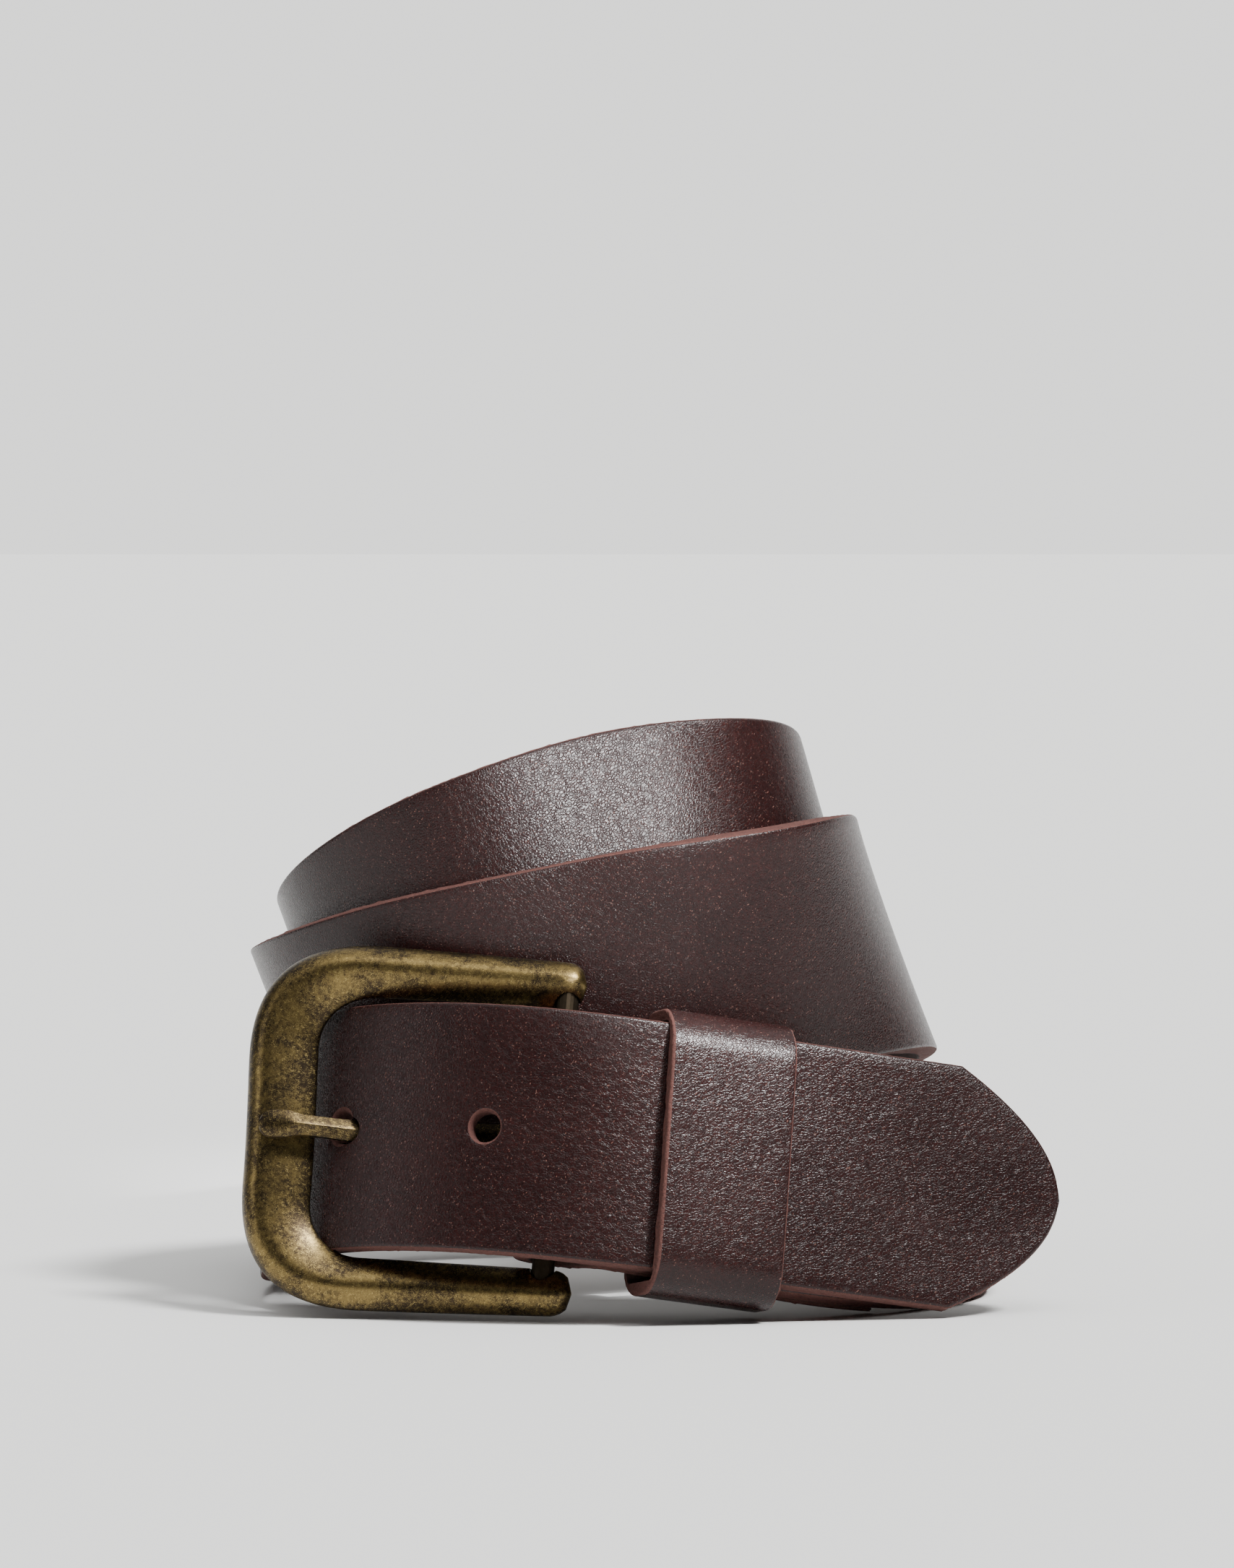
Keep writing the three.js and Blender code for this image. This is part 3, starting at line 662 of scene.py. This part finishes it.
def keeper_staple():
    """Two legs through the band's back wall, joined outside it."""
    out = KEEPER_BACK - KEEPER_THICKNESS - CLEARANCE - STAPLE_RADIUS
    foot = KEEPER_BACK - STAPLE_LEG
    half = STAPLE_SPAN / 2
    bend = 1.2
    path = [(foot - (foot - out - bend) * k / 5, -half) for k in range(6)]
    path += [(out + bend - bend * math.sin(a), -half + bend - bend * math.cos(a))
             for a in np.radians((22, 45, 68, 90))]
    path += [(out, -half + bend + (2 * half - 2 * bend) * k / 8) for k in range(1, 8)]
    path += [(x, -y) for x, y in path[9::-1]]
    points = [keeper_frame.at(0, x, y - STAPLE_DROP) for x, y in path]
    piece = tube("keeper_wire", points, STAPLE_RADIUS)
    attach(piece, "keeper")
    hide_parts("keeper_staple")
    return piece


# ---------- the buckle ----------
BAR_EXTRA = 0.7
FRAME_SIDES = 44
FRONT_RISE = 2.85
BACK_RISE = 2.5
WINDOW_FLARE = 8.5
WINDOW_SOFTNESS = 0.42
FRAME_RACK = 1.5
ARM_CAP = 4.0
ARM_END_WEAR_AND_HIGHLIGHT = 2.4
CAP_POWER = 2.5
PRONG_NOSE = 2.3


def bezier(a, b, c, d, count):
    k = np.linspace(0, 1, count)[:, None]
    return (1 - k)**3 * a + 3 * (1 - k)**2 * k * b + 3 * (1 - k) * k**2 * c + k**3 * d


def frame_arm(end, count):
    """Matching points on the outer and inner edges of the upper arm, from its free end to the corner."""
    front, inner = FRAME_REACH + FRONT_BAR_WIDTH / 2, FRAME_REACH - FRONT_BAR_WIDTH / 2 - BAR_EXTRA
    high, low = FRAME_FRONT_HEIGHT / 2, FRAME_HEEL_HEIGHT / 2
    k = np.linspace(0, 1, count)
    swell = low + (high - low) * smoothstep(k, -0.6, 1.35)
    outer = np.stack([-end + (front - FRAME_CORNER + end) * k, swell + high - swell[-1]], -1)
    inside = np.stack([-end + (inner - WINDOW_FLARE + end) * k, np.full(count, ARM_INSIDE)], -1)
    return outer, inside


def rounded_corner(x, y, reach, softness, count):
    """A corner at (x, y) that starts reach before it and ends reach after it."""
    near = softness * reach
    stops = ((x - reach, y), (x - near, y), (x, y - near), (x, y - reach))
    return bezier(*(np.array(stop) for stop in stops), count)


def frame_outlines():
    """Matching points on the outer and inner outlines, from the upper arm's end to the lower arm's."""
    front, inner = FRAME_REACH + FRONT_BAR_WIDTH / 2, FRAME_REACH - FRONT_BAR_WIDTH / 2 - BAR_EXTRA
    high = FRAME_FRONT_HEIGHT / 2
    arms, corners, spans = 44, 30, 36
    corner_out = rounded_corner(front, high, FRAME_CORNER, CORNER_SOFTNESS, corners)
    corner_in = rounded_corner(inner, ARM_INSIDE, WINDOW_FLARE, WINDOW_SOFTNESS, corners)
    upper, lower = frame_arm(ARM_END_UPPER, arms), frame_arm(ARM_END_LOWER, arms)
    down = np.linspace(1, -1, spans)[1:-1, None]
    flip = np.array([1, -1])
    outlines = []
    for arm, corner, under in ((upper[0], corner_out, lower[0]), (upper[1], corner_in, lower[1])):
        bar_line = np.array([1, 0]) * corner[-1] + np.array([0, 1]) * corner[-1] * down
        line = np.concatenate([arm, corner[1:], bar_line, corner[::-1] * flip, under[-2::-1] * flip])
        leaning = smoothstep(line[:, 1], -12, 24) * smoothstep(line[:, 0], 10, FRAME_REACH)
        line[:, 0] += FRAME_RACK * leaning
        outlines.append(line)
    return outlines


def frame_rings():
    """The casting's section: a low dome with an off-centre crest in front, and a flatter back."""
    outer, inside = frame_outlines()
    centre, half = (outer + inside) / 2, (outer - inside) / 2
    along = np.concatenate([[0], np.cumsum(np.linalg.norm(np.diff(centre, axis=0), axis=1))])
    from_end = np.minimum(along, along[-1] - along) / ARM_CAP
    cap = np.maximum((1 - (1 - np.clip(from_end, 0, 1)) ** CAP_POWER) ** (1 / CAP_POWER), 0.04)
    angle = np.linspace(0, 2 * np.pi, FRAME_SIDES, endpoint=False)
    c, s = np.cos(angle), np.sin(angle)
    front = s > 1e-6
    across = np.sign(c) * np.abs(c) ** 0.85
    crest = 0.1 + 0.26 * smoothstep(centre[:, 0], FRAME_REACH - 16, FRAME_REACH)
    wide = np.linalg.norm(half, axis=1)
    # Real wear and painted highlight: the arm ends count as crest, so the brass there turns gold and
    # brighter where light catches their rounded ends.
    rubbed_and_highlit = ARM_END_WEAR_AND_HIGHLIGHT * (1 - smoothstep(from_end, 0.3, 2.6))
    rings, shares = [], []
    for i in range(len(centre)):
        share = np.where(front, across + crest[i] * (1 - across**2), across)
        reach = np.where(share > crest[i], 1 - crest[i], 1 + crest[i])
        slope = np.clip(np.abs(share - crest[i]) / reach, 0, 1)
        dome = (1 - slope ** np.where(share > crest[i], 1.9, 1.55)) ** 0.72
        level = np.where(front, dome, 0)
        rise = np.where(front, FRONT_RISE * dome, -BACK_RISE * np.abs(s) ** 0.75)
        flat = centre[i] + (share * cap[i])[:, None] * half[i]
        tall = (wide[i] / 4.2) ** 0.25 * cap[i]
        rings.append(buckle.at(flat[:, 0], rise * tall, flat[:, 1]))
        shares.append(np.maximum(level, np.where(front, rubbed_and_highlit[i], 0)))
    return np.array(rings), np.array(shares)


def buckle_frame():
    rings, crest = frame_rings()
    piece = sweep("buckle_casting", rings)
    height = piece.data.attributes.new("crest", "FLOAT", "POINT")
    height.data.foreach_set("value", crest.ravel().astype(np.float32))
    reach = ARM_INSIDE + 3 + CLEARANCE
    bore_axis = Frames(buckle.p, buckle.t, buckle.w, buckle.n)
    r = BAR_RADIUS + CLEARANCE * 0.8
    bore = lathe("bar_bore", bore_axis, [(0, -reach), (r, -reach), (r, reach), (0, reach)])
    carve(piece, [bore])
    sharpen(piece, 60)
    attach(piece, "buckle")
    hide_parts("buckle_frame")
    return piece


def prong():
    """A tapering bar with a ridge, whose flat head rests on the front bar, and an eye round the heel bar."""
    neck = FRAME_REACH - 6
    along = np.concatenate([np.linspace(0, neck, 50), np.linspace(neck, PRONG_LENGTH, 34)[1:]])
    f = prong_frames(along)
    head = smoothstep(along, FRAME_REACH - 4.6, FRAME_REACH - 1.6)
    end = np.clip((along - (PRONG_LENGTH - PRONG_NOSE)) / PRONG_NOSE, 0, 1)
    width = PRONG_WIDTH - 0.4 * smoothstep(along, 24, 37) + 1.2 * head
    half = width / 2 * np.sqrt(1 - 0.9 * end**2.6)
    high = PRONG_THICKNESS / 2
    columns = [(-1, 0.05, 0), (-0.93, 0.42, 0), (-0.5, 0.74, 0), (-0.1, 1.04, 0), (0, 1.08, 0)]
    columns += [(0.1, 1.04, 0), (0.5, 0.74, 0), (0.93, 0.42, 0), (1, 0.05, 0)]
    columns += [(0.9, -0.8, 1), (0.6, -1, 1), (0, -1, 1)]
    columns += [(-0.6, -1, 1), (-0.9, -0.8, 1)]
    flat_top = [0.05, 0.6, 0.95, 1.0, 1.0, 1.0, 0.95, 0.6, 0.05]
    rows = []
    for k, (share, level, below) in enumerate(columns):
        top = level if below else level * (1 - head) + flat_top[k] * head
        rows.append(f.at(out=top * high * (1 - 0.35 * end**2), across=share * half))
    piece = sweep("prong_tongue", np.stack(rows, 1))
    eye_axis = Frames(buckle.p, buckle.t, buckle.w, buckle.n)
    width, r = PRONG_EYE_WIDTH / 2, PRONG_EYE_RADIUS
    eye = lathe("prong_eye", eye_axis, [(0, -width), (r - 0.5, -width), (r, 0.5 - width), (r, width - 0.5),
                                        (r - 0.5, width), (0, width)])
    carve(piece, [eye], "UNION")
    r = BAR_RADIUS + CLEARANCE
    carve(piece, [lathe("prong_bore", eye_axis, [(0, -4), (r, -4), (r, 4), (0, 4)])])
    sharpen(piece, 38)
    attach(piece, "prong")
    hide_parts("prong")
    return piece


# ---------- the screws ----------
DRIVER_SLOT_WIDTH = 1.1
DRIVER_SLOT_DEPTH = 0.4


def screw_post(side, name):
    f = screw_frame(side)
    seat = HALF_THICKNESS - SCREW_RECESS + CLEARANCE
    top = seat + SCREW_HEAD_THICKNESS
    end = FLAP_SIDE + SCREW_RECESS + 0.15
    r = SCREW_HEAD_RADIUS
    profile = [(0, end + 0.6), (1.4, end + 0.6), (1.5, end), (POST_RADIUS, end), (POST_RADIUS, seat)]
    profile += [(r - 0.1, seat), (r, seat + 0.15), (r, top - 0.4), (r - 0.15, top - 0.18)]
    profile += [(r - 0.45, top - 0.03), (r - 1.2, top), (0, top)]
    return fastener(lathe("post_" + name, f, profile), "screw_post_" + name)


def screw(side, name):
    f = screw_frame(side)
    seat = FLAP_SIDE + SCREW_RECESS - CLEARANCE
    low = seat - SCREW_HEAD_THICKNESS
    shank_end = HALF_THICKNESS - SCREW_RECESS - 0.6
    r = SCREW_HEAD_RADIUS
    profile = [(0, low), (r - 1.2, low), (r - 0.45, low + 0.03), (r - 0.15, low + 0.18), (r, low + 0.4)]
    profile += [(r, seat - 0.15), (r - 0.1, seat), (SHANK_RADIUS, seat)]
    profile += [(SHANK_RADIUS, shank_end), (0, shank_end)]
    piece = lathe("screw_head_" + name, f, profile)
    half = DRIVER_SLOT_WIDTH / 2
    outline = [(-half, -r - 1), (half, -r - 1), (half, r + 1), (-half, r + 1)]
    carve(piece, [outline_cutter("driver_slot", f, outline, low - 1, low + DRIVER_SLOT_DEPTH)])
    return fastener(piece, "screw_" + name)


def fastener(piece, node):
    sharpen(piece, 35)
    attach(piece, "strap")
    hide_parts(node)
    return piece


# ---------- materials ----------
class Nodes:
    """A material's node tree, written a node at a time."""

    def __init__(self, name):
        self.material = bpy.data.materials.new(name)
        self.material.use_nodes = True
        self.tree = self.material.node_tree
        self.shader = self.tree.nodes["Principled BSDF"]

    def add(self, kind, settings=None, **inputs):
        node = self.tree.nodes.new(kind)
        for key, value in (settings or {}).items():
            setattr(node, key, value)
        for key, value in inputs.items():
            self.feed(node.inputs[key.replace("_", " ")], value)
        return node

    def feed(self, socket, value):
        if isinstance(value, bpy.types.NodeSocket):
            self.tree.links.new(value, socket)
        else:
            socket.default_value = value

    def coordinates(self, scale=(1, 1, 1), turn=(0, 0, 0)):
        """Object coordinates in millimetres."""
        spot = self.add("ShaderNodeTexCoord").outputs["Object"]
        sizes = tuple(s / MM for s in scale)
        angles = tuple(math.radians(a) for a in turn)
        turned = self.add("ShaderNodeMapping", Vector=spot, Rotation=angles)
        return self.add("ShaderNodeMapping", Vector=turned.outputs[0], Scale=sizes).outputs[0]

    def noise(self, scale, detail=2.0, roughness=0.5, vector=None, distortion=0.0):
        node = self.add("ShaderNodeTexNoise", Vector=vector or self.coordinates(), Scale=scale,
                        Detail=detail, Roughness=roughness, Distortion=distortion)
        return node.outputs["Fac"]

    def cells(self, scale, feature="F1", output="Distance", vector=None):
        node = self.add("ShaderNodeTexVoronoi", {"feature": feature},
                        Vector=vector or self.coordinates(), Scale=scale)
        return node.outputs[output]

    def span(self, value, low, high, to_low=0.0, to_high=1.0):
        node = self.add("ShaderNodeMapRange", Value=value)
        for key, amount in zip(("From Min", "From Max", "To Min", "To Max"), (low, high, to_low, to_high)):
            node.inputs[key].default_value = amount
        return node.outputs[0]

    def math(self, operation, a, b=0.0):
        node = self.add("ShaderNodeMath", {"operation": operation})
        self.feed(node.inputs[0], a)
        self.feed(node.inputs[1], b)
        return node.outputs[0]

    def mix(self, share, a, b):
        node = self.add("ShaderNodeMix", {"data_type": "RGBA"})
        self.feed(node.inputs[0], share)
        self.feed(node.inputs[6], (*a, 1) if isinstance(a, tuple) else a)
        self.feed(node.inputs[7], (*b, 1) if isinstance(b, tuple) else b)
        return node.outputs[2]

    def bump(self, height, distance, strength=1.0, under=None):
        node = self.add("ShaderNodeBump", Height=height, Distance=distance * MM, Strength=strength)
        if under is not None:
            self.feed(node.inputs["Normal"], under)
        return node.outputs[0]

    def finish(self, color, roughness, normal=None, **constants):
        self.feed(self.shader.inputs["Base Color"], (*color, 1) if isinstance(color, tuple) else color)
        self.feed(self.shader.inputs["Roughness"], roughness)
        if normal is not None:
            self.feed(self.shader.inputs["Normal"], normal)
        for key, value in constants.items():
            self.shader.inputs[key.replace("_", " ")].default_value = value
        return self.material


def grain_leather():
    """Dark bordeaux-brown leather: a tight pebble with painted shade in its creases, and scattered painted
    glints.
    """
    m = Nodes("grain_leather")
    warp = m.noise(0.9, 2.0)
    shifted = m.add("ShaderNodeVectorMath", {"operation": "ADD"})
    m.feed(shifted.inputs[0], m.coordinates())
    m.feed(shifted.inputs[1], warp)
    pebbles = m.cells(2.3, "DISTANCE_TO_EDGE", vector=shifted.outputs[0])
    dome = m.math("POWER", m.span(pebbles, 0.0, 0.32), 0.6)
    tone = m.cells(2.3, "F1", "Color", vector=shifted.outputs[0])
    single = m.add("ShaderNodeSeparateColor", Color=tone).outputs[0]
    fine = m.noise(5.5, 3.0, 0.6)
    height = m.math("ADD", m.math("MULTIPLY", dome, 0.75), m.math("MULTIPLY", fine, 0.5))
    normal = m.bump(m.noise(0.35, 2.0), 0.12, 0.2)
    normal = m.bump(height, 0.038, 0.85, normal)
    patches = m.noise(0.06, 4.0, 0.6)
    brown = m.mix(m.span(patches, 0.3, 0.7), (0.0200, 0.0062, 0.0060), (0.0310, 0.0090, 0.0082))
    brown = m.mix(m.span(single, 0.0, 1.0, 0.0, 0.5), brown, (0.009, 0.0035, 0.0036))
    # Painted shade: the colour darkens in the creases between the pebbles, where the dome is low.
    brown = m.mix(m.span(dome, 0.0, 0.55, 0.7, 0.0), brown, (0.004, 0.002, 0.002))
    mottle = m.noise(1.3, 4.0, 0.65)
    brown = m.mix(m.span(mottle, 0.38, 0.62, 0.45, 0.0), brown, (0.007, 0.003, 0.003))
    # Painted glints: tiny light dots mixed into the colour, standing in for sparkles of light off the grain.
    glint_cells = m.cells(3.1, "F1", "Distance", vector=shifted.outputs[0])
    glint_cell_color = m.cells(3.1, "F1", "Color", vector=shifted.outputs[0])
    glint_tone = m.add("ShaderNodeSeparateColor", Color=glint_cell_color).outputs[1]
    bright = m.math("MULTIPLY", m.span(glint_cells, 0.34, 0.16), m.span(glint_tone, 0.70, 0.95))
    brown = m.mix(m.math("MULTIPLY", bright, 0.8), brown, (0.17, 0.085, 0.068))
    roughness = m.span(m.math("ADD", patches, m.math("MULTIPLY", single, 0.4)), 0.3, 1.1, 0.22, 0.32)
    return m.finish(brown, roughness, normal, Specular_IOR_Level=0.28)


def raw_edge_leather():
    """The cut edge: reddish brown and fibrous."""
    m = Nodes("raw_edge_leather")
    fibres = m.noise(2.4, 5.0, 0.7)
    threads = m.noise(7.0, 3.0, 0.6)
    color = m.mix(m.span(fibres, 0.3, 0.7), (0.042, 0.015, 0.0128), (0.120, 0.045, 0.036))
    color = m.mix(m.span(threads, 0.45, 0.8, 0.0, 0.5), color, (0.18, 0.080, 0.064))
    height = m.math("ADD", fibres, m.math("MULTIPLY", threads, 0.4))
    return m.finish(color, 0.82, m.bump(height, 0.16), Specular_IOR_Level=0.3)


def flesh_leather():
    """The inner side: napped, a little lighter and duller than the grain."""
    m = Nodes("flesh_leather")
    nap = m.noise(3.2, 6.0, 0.7)
    cloud = m.noise(0.09, 3.0, 0.6)
    color = m.mix(m.span(cloud, 0.3, 0.7), (0.040, 0.018, 0.014), (0.062, 0.027, 0.021))
    color = m.mix(m.span(nap, 0.4, 0.75, 0.0, 0.6), color, (0.11, 0.055, 0.042))
    return m.finish(color, 0.88, m.bump(nap, 0.10), Specular_IOR_Level=0.25, Sheen_Weight=0.12)


def antique_brass():
    """Cast brass under a brown-black skin, worn to gold on the crest, with fine gold scratches; the extra
    gold at the arm ends is worn brass and painted highlight both.
    """
    m = Nodes("antique_brass")
    clouds = m.noise(0.16, 5.0, 0.62)
    blotch = m.noise(1.1, 5.0, 0.72)
    specks = m.noise(5.0, 3.0, 0.7)
    crest = m.add("ShaderNodeAttribute", {"attribute_name": "crest"}).outputs["Fac"]
    worn = m.math("ADD", m.math("MULTIPLY", clouds, 0.4), m.math("MULTIPLY", blotch, 0.35))
    worn = m.math("ADD", worn, m.math("MULTIPLY", specks, 0.25))
    worn = m.math("ADD", worn, m.span(crest, 0.2, 1.0, -0.05, 0.03))
    streaks = 0.0
    for turn, width in (((0, 40, 30), 9.0), ((25, -35, 70), 8.0), ((60, 10, -25), 10.0)):
        lines = m.noise(1.0, 3.0, 0.7, vector=m.coordinates((0.55, width, width * 0.7), turn))
        streaks = m.math("MAXIMUM", streaks, m.span(lines, 0.58, 0.68))
    streaks = m.math("MULTIPLY", streaks, m.span(m.noise(1.7, 3.0, 0.6), 0.40, 0.58))
    dark = m.mix(m.noise(0.5, 3.0), (0.024, 0.018, 0.013), (0.050, 0.036, 0.024))
    gold = m.mix(m.noise(2.6, 4.0, 0.7), (0.125, 0.090, 0.037), (0.29, 0.205, 0.075))
    color = m.mix(m.span(worn, 0.455, 0.575, 0.0, 0.9), dark, gold)
    color = m.mix(m.math("MULTIPLY", streaks, 0.7), color, (0.62, 0.46, 0.17))
    roughness = m.span(m.math("ADD", worn, m.math("MULTIPLY", streaks, -0.2)), 0.3, 0.8, 0.42, 0.28)
    height = m.math("ADD", m.math("MULTIPLY", blotch, 0.6), m.math("MULTIPLY", specks, 0.25))
    height = m.math("ADD", height, m.math("MULTIPLY", streaks, -0.25))
    return m.finish(color, roughness, m.bump(height, 0.02, 0.7), Metallic=1.0)


def shaded_brass():
    """The heel bar, in a darker copy of the brass: painted shade, so that its ends stay dim where they show
    between the arms and the strap.
    """
    m = Nodes("shaded_brass")
    color = m.mix(m.noise(1.5, 3.0), (0.022, 0.017, 0.012), (0.045, 0.034, 0.022))
    return m.finish(color, 0.5, Metallic=1.0)


def plain_steel():
    """Drawn wire, lightly brushed."""
    m = Nodes("plain_steel")
    brushed = m.noise(1.0, 4.0, 0.6, vector=m.coordinates((6, 6, 0.4)))
    color = m.mix(brushed, (0.42, 0.42, 0.41), (0.60, 0.59, 0.57))
    return m.finish(color, m.span(brushed, 0.3, 0.7, 0.26, 0.4), m.bump(brushed, 0.01), Metallic=1.0)


def dress(piece, slot, *materials):
    """Gives a new piece its materials, and keeps which face has which."""
    kinds = np.empty(len(piece.data.polygons), dtype=np.int32)
    piece.data.polygons.foreach_get("material_index", kinds)
    piece.data.materials.clear()
    for material in materials:
        piece.data.materials.append(material)
    piece.data.polygons.foreach_set("material_index", kinds)


# ---------- the belt ----------
hide = (grain_leather(), raw_edge_leather(), flesh_leather())
brass = antique_brass()
steel = plain_steel()

for piece in (wound_strap(), strap_end(), keeper_loop()):
    dress(piece, "strap_leather", *hide)
for piece in (buckle_frame(), prong()):
    dress(piece, "antique_brass", brass)
for side, name in ((-1, "lower"), (1, "upper")):
    dress(screw_post(side, name), "antique_brass", brass)
    dress(screw(side, name), "antique_brass", brass)
dress(keeper_staple(), "steel", steel)
# Painted shade: the heel bar wears the darker, shaded copy of the brass.
heel_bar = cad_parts["buckle_bar"]
heel_bar.material_slots[0].material = shaded_brass()


# ---------- stage, light and camera ----------
CAMERA_PLACE = np.array([3.5, -1200.0, 120.0])
CAMERA_PITCH = 1.956
CAMERA_LENS = 174.2
FLOOR_SIZE = 60.0
TOP_TURN = np.array([3.0, -27.0, 80.0])
BEAM_DISTANCE = 1.2
BEAM_SOFTNESS = 0.02
PALE = 1.53
DIM = 0.03
OVERHEAD = 1.15


def floor():
    half = FLOOR_SIZE / 2
    mesh = bpy.data.meshes.new("floor")
    corners = [(-half, -half, 0), (half, -half, 0), (half, half, 0), (-half, half, 0)]
    mesh.from_pydata(corners, [], [(0, 1, 2, 3)])
    piece = bpy.data.objects.new("floor", mesh)
    bpy.context.scene.collection.objects.link(piece)
    m = Nodes("pale_floor")
    piece.data.materials.append(m.finish((0.80, 0.80, 0.79), 1.0, Specular_IOR_Level=0.0))


def sun(name, azimuth, elevation, strength, size):
    """A soft, distant light. Azimuth 0 shines from the front, and 90 from the right."""
    light = bpy.data.lights.new(name, "SUN")
    light.energy = strength
    light.angle = math.radians(size)
    lamp = bpy.data.objects.new(name, light)
    bpy.context.scene.collection.objects.link(lamp)
    lamp.rotation_mode = "QUATERNION"
    lamp.rotation_quaternion = towards(azimuth, elevation).to_track_quat("Z", "Y")


def towards(azimuth, elevation):
    a, e = math.radians(azimuth), math.radians(elevation)
    return Vector((math.sin(a) * math.cos(e), -math.cos(a) * math.cos(e), math.sin(e)))


def beam(name, target, azimuth, elevation, power, spread):
    """A narrow, soft-edged spotlight on one place of the belt."""
    light = bpy.data.lights.new(name, "SPOT")
    light.energy = power
    light.shadow_soft_size = BEAM_SOFTNESS
    light.spot_size = math.radians(spread)
    light.spot_blend = 0.7
    lamp = bpy.data.objects.new(name, light)
    bpy.context.scene.collection.objects.link(lamp)
    lamp.location = Vector(place(target)) + towards(azimuth, elevation) * BEAM_DISTANCE
    lamp.rotation_mode = "QUATERNION"
    lamp.rotation_quaternion = towards(azimuth, elevation).to_track_quat("Z", "Y")


def studio():
    """A pale room, bright behind and above the belt and dim in front of it."""
    world = bpy.data.worlds.new("studio")
    bpy.context.scene.world = world
    world.use_nodes = True
    tree = world.node_tree
    background = tree.nodes["Background"]
    direction = tree.nodes.new("ShaderNodeTexCoord").outputs["Generated"]
    split = tree.nodes.new("ShaderNodeSeparateXYZ")
    tree.links.new(direction, split.inputs[0])

    def ramp(value, low, high, to_low, to_high):
        node = tree.nodes.new("ShaderNodeMapRange")
        node.interpolation_type = "SMOOTHSTEP"
        tree.links.new(value, node.inputs["Value"])
        for key, amount in zip(("From Min", "From Max"), (low, high)):
            node.inputs[key].default_value = amount
        for key, amount in zip(("To Min", "To Max"), (to_low, to_high)):
            if isinstance(amount, float):
                node.inputs[key].default_value = amount
            else:
                tree.links.new(amount, node.inputs[key])
        return node.outputs[0]

    level = ramp(split.outputs["Y"], 0.5, 1.0, DIM, PALE)
    level = ramp(split.outputs["Z"], 0.5, 0.95, level, OVERHEAD)
    seen = tree.nodes.new("ShaderNodeLightPath").outputs["Is Camera Ray"]
    level = ramp(seen, 0.0, 1.0, level, PALE)
    tree.links.new(level, background.inputs["Strength"])
    background.inputs["Color"].default_value = (1.0, 1.0, 0.985, 1)


def camera():
    data = bpy.data.cameras.new("camera")
    data.lens = CAMERA_LENS
    data.sensor_width = 36
    data.clip_start, data.clip_end = 0.01, 100
    lens = bpy.data.objects.new("camera", data)
    bpy.context.scene.collection.objects.link(lens)
    lens.location = place(CAMERA_PLACE)
    lens.rotation_euler = (math.radians(90 - CAMERA_PITCH), 0, 0)
    bpy.context.scene.camera = lens


floor()
studio()
sun("key_light", azimuth=50, elevation=52, strength=4.7, size=13)
sun("fill_light", azimuth=5, elevation=62, strength=0.9, size=30)
sun("left_card", azimuth=-76, elevation=18, strength=0.35, size=25)
beam("top_turn_beam", TOP_TURN, azimuth=13, elevation=22, power=125.0, spread=3.4)
keeper_shoulder = keeper_frame.at(out=KEEPER_FRONT, across=KEEPER_TOP - 3)
beam("keeper_beam", keeper_shoulder, azimuth=52, elevation=50, power=240.0, spread=1.7)
camera()
